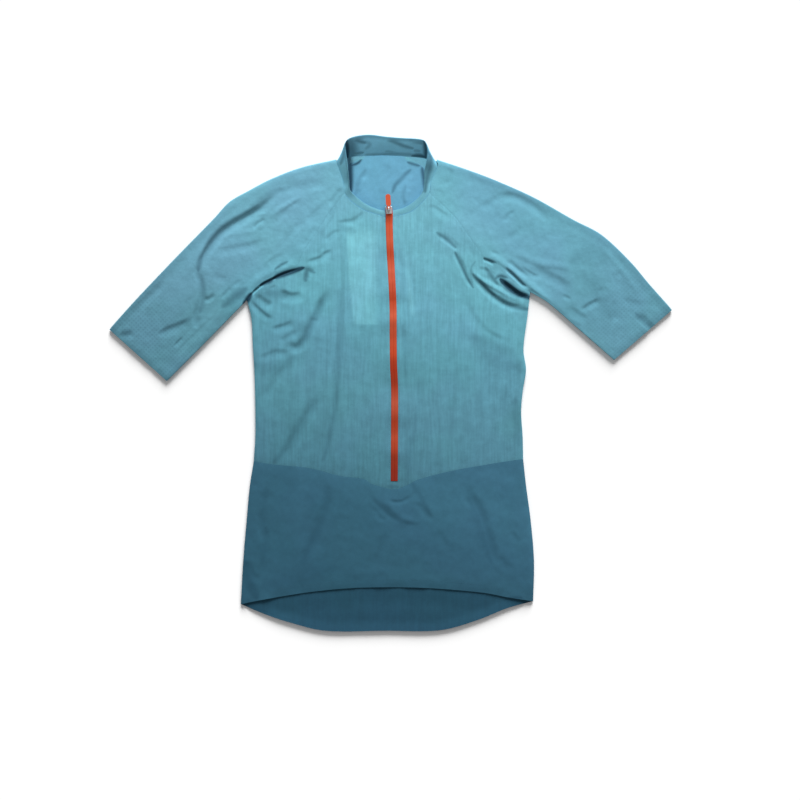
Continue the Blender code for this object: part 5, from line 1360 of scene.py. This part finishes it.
def back_edge(side):
    """One side of the back, from the V seam up to the neck."""
    side_seam = evenly(on_side(SIDE, side), BACK_SIDE_ROWS)
    raglan = evenly(BACK_RAGLAN_PATH[side], BACK_RAGLAN_ROWS)
    return np.concatenate([side_seam[:-1], beside(raglan, -TOWARDS_SLEEVE[side] * SEAM_GAP / 2)])


def upper_back():
    across = np.linspace(0, 1, BACK_COLUMNS + 1)
    left, right = (back_edge(side) for side in SIDES)
    lower = left[0] + (right[0] - left[0]) * across[:, None] + (0, SEAM_GAP / 2)
    neck = neck_edge(across, "left back raglan", "right back raglan", 0)
    places = patch(left, right, lower, neck, across, hold=6)
    flat = places.reshape(-1, 2)
    size, length, seed = BACK_RIPPLE
    lift = np.clip(crease_lift(BACK_CREASES, flat) + size * ripples(flat, length, seed), -size, None)
    outer = raised(places, LAID_FLAT + lift)
    inner = inner_side(outer, least=0.0)
    # Painted shade and light from the strokes
    deep = hidden(flat, INSIDE_BACK_SHADES)
    far = 1 - hidden(flat, GREEN_CORNERS)
    return shell("upper_back", outer, inner, places, inside_back_knit, deep=deep, far=far)


back = upper_back()
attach(back, "garment")
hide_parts("back_body")

# %% [markdown]
# The collar is folded double, so it is thicker than the panels and its top edge is round. Each section is a straight
# line from where it is sewn on to its top edge. Its middle is bowed out a little, and the part behind the neck waves
# in and out, as a band does that is longer at its top than the neck it stands on. At the neck's two folded corners
# the band goes on down inside the sleeves, so that no gap shows under it.

# %% Collar
COLLAR_STEPS = 12  # between one section and the next
COLLAR_ROWS = 18
COLLAR_CLOTH = 0.0019
COLLAR_BOW = 0.0007
# Each of these tables gives stations round the neck, counted from the left front end, and a number at each
COLLAR_STAND = ([0, 3, 4, 6, 19, 21, 22, 25], [0.3, 0.3, 0.5, 1, 1, 0.5, 0.3, 0.3])  # the front lies nearly flat
COLLAR_ARCH = ([0, 4, 6, 19, 21, 25], [-0.3, 0, 1, 1, 0, -0.3])  # how much it is bowed
COLLAR_SINK = (  # how far it goes on down inside the sleeves, in millimetres
    [5, 6, 7, 8, 9, 10, 11, 15, 16, 17, 18, 19, 20, 21], [0, 1.0, 2.2, 2.6, 1.4, 0.2, 0, 0, 0.2, 1.4, 2.6, 2.2, 1.0, 0])
COLLAR_WAVES = (  # how far it is pushed in, in millimetres
    [9.5, 10.8, 11.9, 13.0, 14.1, 15.2, 16.4, 17.4], [0.0, -0.5, 0.9, -0.7, 1.0, -0.5, 0.6, 0.0])
# Painted light: how much paler the collar is drawn where the low light leaves it in shade
COLLAR_PAINTED_LIGHT = ([0, 3, 5, 7, 9, 11, 14, 17, 18, 20, 22, 25], [0.5, 0.5, 0.4, 0.5, 0.4, 0.9, 1, 0.7, 0, 0.1, 0.4, 0.5])
# Painted shade on its top edge, which catches the light
RIM_SHADE = ([0, 4, 8, 10, 17, 20, 25], [0.5, 0.5, 0.4, 0.5, 0.5, 0.4, 0.5])  # on its top edge
RIM_START = 0.86  # share of the collar's width where that shade starts
RIM_FADE = 0.06
ROUND_SHARE = 0.10  # share of the collar's width over which its top edge is rounded
ROUND_ROWS = np.array((0.55, 0.25, 0.07, 0.0))  # where the last rows lie in it, counted down from the top
ROUNDNESS = 0.96


def stand_collar():
    base = np.array([(row.base_x, row.base_y, row.base_z) for row in COLLAR])
    top = np.array([(row.top_x, row.top_y, row.top_z) for row in COLLAR])
    stations = range(len(COLLAR))
    top[:, 2] = base[:, 2] + (top[:, 2] - base[:, 2]) * np.interp(stations, *COLLAR_STAND)
    sink = np.interp(stations, *COLLAR_SINK) * MM
    base -= (top - base) * (sink / (top[:, 2] - base[:, 2]))[:, None]
    sections = np.linspace(0, len(COLLAR) - 1, (len(COLLAR) - 1) * COLLAR_STEPS + 1)
    low, high = smooth(base, sections), smooth(top, sections)
    up = np.linspace(0, 1, COLLAR_ROWS + 1)
    up[-len(ROUND_ROWS) :] = 1 - ROUND_SHARE * ROUND_ROWS
    share = up[None, :, None]
    middle = low[:, None] * (1 - share) + high[:, None] * share
    outwards = unit(np.cross(np.gradient((low + high) / 2, axis=0), high - low))
    places, push = COLLAR_WAVES
    pushed = smooth(np.column_stack([places, push]), np.interp(sections, places, np.arange(len(places))))[:, 1] * MM
    arch = COLLAR_BOW * np.interp(sections, *COLLAR_ARCH)
    bow = arch[:, None] * np.sin(math.pi * up) - pushed[:, None] * (up**0.8 * (1.25 - up))
    middle += outwards[:, None] * bow[..., None]
    to_top = np.clip((up - (1 - ROUND_SHARE)) / ROUND_SHARE, 0, 1)
    half = COLLAR_CLOTH / 2 * np.sqrt(1 - ROUNDNESS * to_top**2)
    offset = outwards[:, None] * half[:, None]
    towards_neck, away = middle + offset, middle - offset

    widths = np.linalg.norm(high - low, axis=1)[:, None] * up
    uv = np.stack(np.broadcast_arrays(lengths_along(low)[:, None], widths), axis=2)
    # Painted shade on the top edge and from the strokes, and painted light by station
    rim = (np.interp(sections, *RIM_SHADE)[:, None] * ease((up - RIM_START) / RIM_FADE)).ravel()
    deep = np.concatenate([
        np.maximum(rim, hidden(towards_neck[..., :2].reshape(-1, 2), INSIDE_COLLAR_SHADES)),
        np.maximum(rim, hidden(away[..., :2].reshape(-1, 2), OUTSIDE_COLLAR_SHADES)),
    ])
    painted_light = np.repeat(np.interp(sections, *COLLAR_PAINTED_LIGHT), len(up))
    return shell("stand_collar", towards_neck, away, uv, collar_knit, deep=deep, pale=painted_light)


collar = stand_collar()
collar.visible_shadow = False  # the low sun would put the whole inside of the neck in its shade
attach(collar, "garment")
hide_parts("collar")

# %% [markdown]
# The seams are sewn flat, so a row of thread shows beside each. One stitch is a tiny ball drawn out along the seam
# and half sunk into the knit. There are hundreds, so each has only twenty faces. Where a row would run into a deep
# fold its stitches are left out, as nobody can see them there.

# %% Stitches
STITCH_PITCH = 0.0032
STITCH_SIZE = (0.0011, 0.00016, 0.00012)  # half its length, width and height
STITCH_INSET = 0.0022  # from a seam to its row
CUFF_INSET = 0.016
CUFF_TRIM = 0.06  # share of the cuff's row that has no stitches, at each end
NECK_TRIM = 0.05
HEM_INSET = 0.012
MOST_HIDDEN = 0.2
THREAD_SHADE = 0.98


# The thread takes the knit's colours, with their painted fall-off of light, a little darker.
def thread(name, stops, slant):
    material, tree, shader = new_material(name, roughness=0.7, specular=0.3)
    feed(tree, shader.inputs["Base Color"], scaled(tree, slanted_gradient(tree, stops, slant), THREAD_SHADE))
    return material


def stitches(name, rows, material):
    """A piece with a line of stitches along each row of places."""
    bm = bmesh.new()
    size = Matrix.Diagonal((*STITCH_SIZE, 1))
    count = 0
    for row in rows:
        places = along(row, np.linspace(0, 1, max(2, round(lengths_along(row)[-1] / STITCH_PITCH))))
        height, deep = face_height(places)
        points = np.column_stack([places, height])
        for point, heading in zip(points[deep <= MOST_HIDDEN], np.gradient(points, axis=0)[deep <= MOST_HIDDEN]):
            turn = Vector(heading).to_track_quat("X", "Z").to_matrix().to_4x4()
            bmesh.ops.create_icosphere(bm, subdivisions=1, radius=1, matrix=Matrix.Translation(point) @ turn @ size)
            count += 1
    bmesh.ops.recalc_face_normals(bm, faces=bm.faces)
    mesh = finished_mesh(name, bm, material)
    mesh.shade_smooth()
    print(f"{name}: {count} stitches")
    return place_in_scene(name, mesh)


upper_rows = [beside(FRONT_SEAM[side], -TOWARDS_SLEEVE[side] * STITCH_INSET)[2:-4] for side in SIDES]
upper_rows += [zip_middle()[ROWS_UNDER_ZIP::4] + (out * (ZIP_WIDTH / 2 + STITCH_INSET), 0) for out in (-1, 1)]
by_neck = np.linspace(NECK_TRIM, 1 - NECK_TRIM, 20)
beyond = 1 + STITCH_INSET / NECK_CLEARANCE
upper_rows += [neck_edge(by_neck, f"{side} raglan", f"{side} front end", beyond) for side in SIDES]
for side, cuff in zip(SIDES, CUFFS):
    inwards = on_side(SHOULDER_LINE, side)[1] - on_side(SHOULDER_LINE, side)[0]
    inwards *= CUFF_INSET / np.linalg.norm(inwards)
    upper_rows.append(evenly(cuff * (1 - CUFF_TRIM) + cuff[::-1] * CUFF_TRIM, 8) + inwards)
sewn = stitches("upper_stitches", upper_rows, thread("upper_thread", FRONT_STOPS, FRONT_SLANT))
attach(sewn, "garment")
hem_rows = [
    front_places()[0, 2:-2:3] - (0, STITCH_INSET),
    evenly(whole_edge(HEM_FRONT_EDGE), 40)[1:-1] + (0, HEM_INSET),
]
sewn_hem = stitches("hem_stitches", hem_rows, thread("hem_thread", HEM_STOPS, HEM_SLANT))
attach(sewn_hem, "garment")

# %% [markdown]
# The zip is shown closed. Its teeth are on the back, so what shows is two smooth tapes that meet in the middle. The
# band follows the cloth beside it in height, ripples with it, and climbs to the slider between the collar's ends. Its
# orange carries painted light and shade: lighter and darker in bands along its ripples, and darker towards its lower
# end.

# %% Zip
ZIP_ROWS = 420
ZIP_PROUD = 0.0004  # the band stands above the cloth's face by this much
TAPE = 0.0011
TAPE_TOP = 0.0080  # height of the band under the slider
TAPE_WEAVE = 0.0011  # distance from one cross line of the tape to the next
SLIDER_PLACE = (-0.0028, 0.2768)
SLIDER_LENGTH = 0.0120
SLIDER_TILT = math.radians(6)
SLIDER_LEAN = math.radians(4)
CLIMB_SHARES = (-0.75, 0.0, 0.27)  # the band passes these places under the slider, in shares of its length
CLIMB_START = 0.006  # it leaves the cloth's height this far below the first of them
ZIP_ROW_STRIDE = 6  # the band follows every so many of the front's rows
ZIP_SECTION = [  # across the band: share of its width, and height in millimetres
    (-0.500, -0.30), (-0.480, -0.05), (-0.440, 0.08), (-0.250, 0.12), (-0.060, 0.13), (-0.025, 0.06), (0.000, -0.22),
    (0.025, 0.06), (0.060, 0.13), (0.250, 0.12), (0.440, 0.08), (0.480, -0.05), (0.500, -0.30)]
# Painted light and shade on the orange, by height in Y: along the band's ripples, and darker towards its lower end
ZIP_STOPS = [  # its shades by height in Y
    (-0.160, (0.200, 0.012, 0.002)), (-0.140, (0.230, 0.016, 0.003)), (-0.105, (0.310, 0.032, 0.007)),
    (-0.085, (0.370, 0.048, 0.015)), (-0.062, (0.340, 0.034, 0.008)), (-0.032, (0.400, 0.066, 0.030)),
    (-0.005, (0.310, 0.030, 0.006)), (0.020, (0.310, 0.023, 0.003)), (0.050, (0.430, 0.045, 0.010)),
    (0.110, (0.510, 0.085, 0.036)), (0.135, (0.470, 0.052, 0.014)), (0.180, (0.540, 0.096, 0.046)),
    (0.210, (0.490, 0.060, 0.018)), (0.230, (0.560, 0.092, 0.040)), (0.270, (0.560, 0.074, 0.025))]


def zip_material():
    """Woven tape under a smooth coat: painted light and shade by height, fine cross lines, and a slow unevenness along
    it.
    """
    material, tree, shader = new_material("zip_tape_coat", roughness=0.6, specular=0.2)
    lines = wave(tree, axes(tree, on_cloth(tree))[1], TAPE_WEAVE)
    patchy = noise(tree, on_object(tree), 60.0)
    shade = product(tree, lines, 0.10, product(tree, patchy, 0.20, 0.84))
    feed(tree, shader.inputs["Base Color"], scaled(tree, slanted_gradient(tree, ZIP_STOPS, 0.0), shade))
    add_bump(tree, shader, lines, 0.5, 0.00015)
    return material


def closed_zip():
    places = zip_middle()[::ZIP_ROW_STRIDE]
    path = np.column_stack([places, face_height(places)[0] + ZIP_PROUD])
    path[0, 1] += SEAM_GAP
    below_slider = np.array((*SLIDER_PLACE, TAPE_TOP))
    heading = np.array((-math.sin(SLIDER_LEAN), math.cos(SLIDER_LEAN), math.tan(SLIDER_TILT)))
    climb = [below_slider + heading * SLIDER_LENGTH * share for share in CLIMB_SHARES]
    path = evenly(np.vstack([path[path[:, 1] < climb[0][1] - CLIMB_START], climb]), ZIP_ROWS)
    sideways, lift = np.array(ZIP_SECTION).T
    outer = np.repeat(path[:, None], len(sideways), axis=1)
    outer[..., 0] += sideways * ZIP_WIDTH
    outer[..., 2] += lift * MM
    inner = outer.copy()
    inner[..., 2] = (path[:, 2] - TAPE)[:, None]
    uv = np.stack(np.broadcast_arrays(sideways * ZIP_WIDTH, lengths_along(path)[:, None]), axis=2)
    return shell("closed_zip", outer, inner, uv, zip_material())


band = closed_zip()
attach(band, "garment")
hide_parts("zip_tape")

# %% [markdown]
# The slider and its pull tab already have their right shapes in the solid model, with rounded edges and the hinge
# between them. They keep those meshes, and only get their finishes: satin metal with faint wear, and a moulded tab.

# %% Slider and pull tab
METAL = ((0.54, 0.54, 0.55), (0.68, 0.68, 0.69))  # the two shades that each finish drifts between
MOULDED = ((0.600, 0.085, 0.030), (0.690, 0.110, 0.045))


def satin_metal():
    material, tree, shader = new_material("satin_metal", roughness=0.45, specular=0.4, metallic=0.4)
    worn = noise(tree, on_object(tree), 900.0)
    feed(tree, shader.inputs["Base Color"], mixed_colour(tree, worn, *METAL))
    feed(tree, shader.inputs["Roughness"], product(tree, worn, 0.18, 0.36))
    return material


def moulded_tab():
    material, tree, shader = new_material("moulded_tab", roughness=0.42, specular=0.45)
    grain = noise(tree, on_object(tree), 1500.0)
    feed(tree, shader.inputs["Base Color"], mixed_colour(tree, grain, *MOULDED))
    add_bump(tree, shader, grain, 0.25, 0.0001)
    return material


for node_name, finish in (("zip_slider", satin_metal()), ("zip_puller", moulded_tab())):
    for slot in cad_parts[node_name].material_slots:
        slot.material = finish
    print(node_name, "has", finish.name)
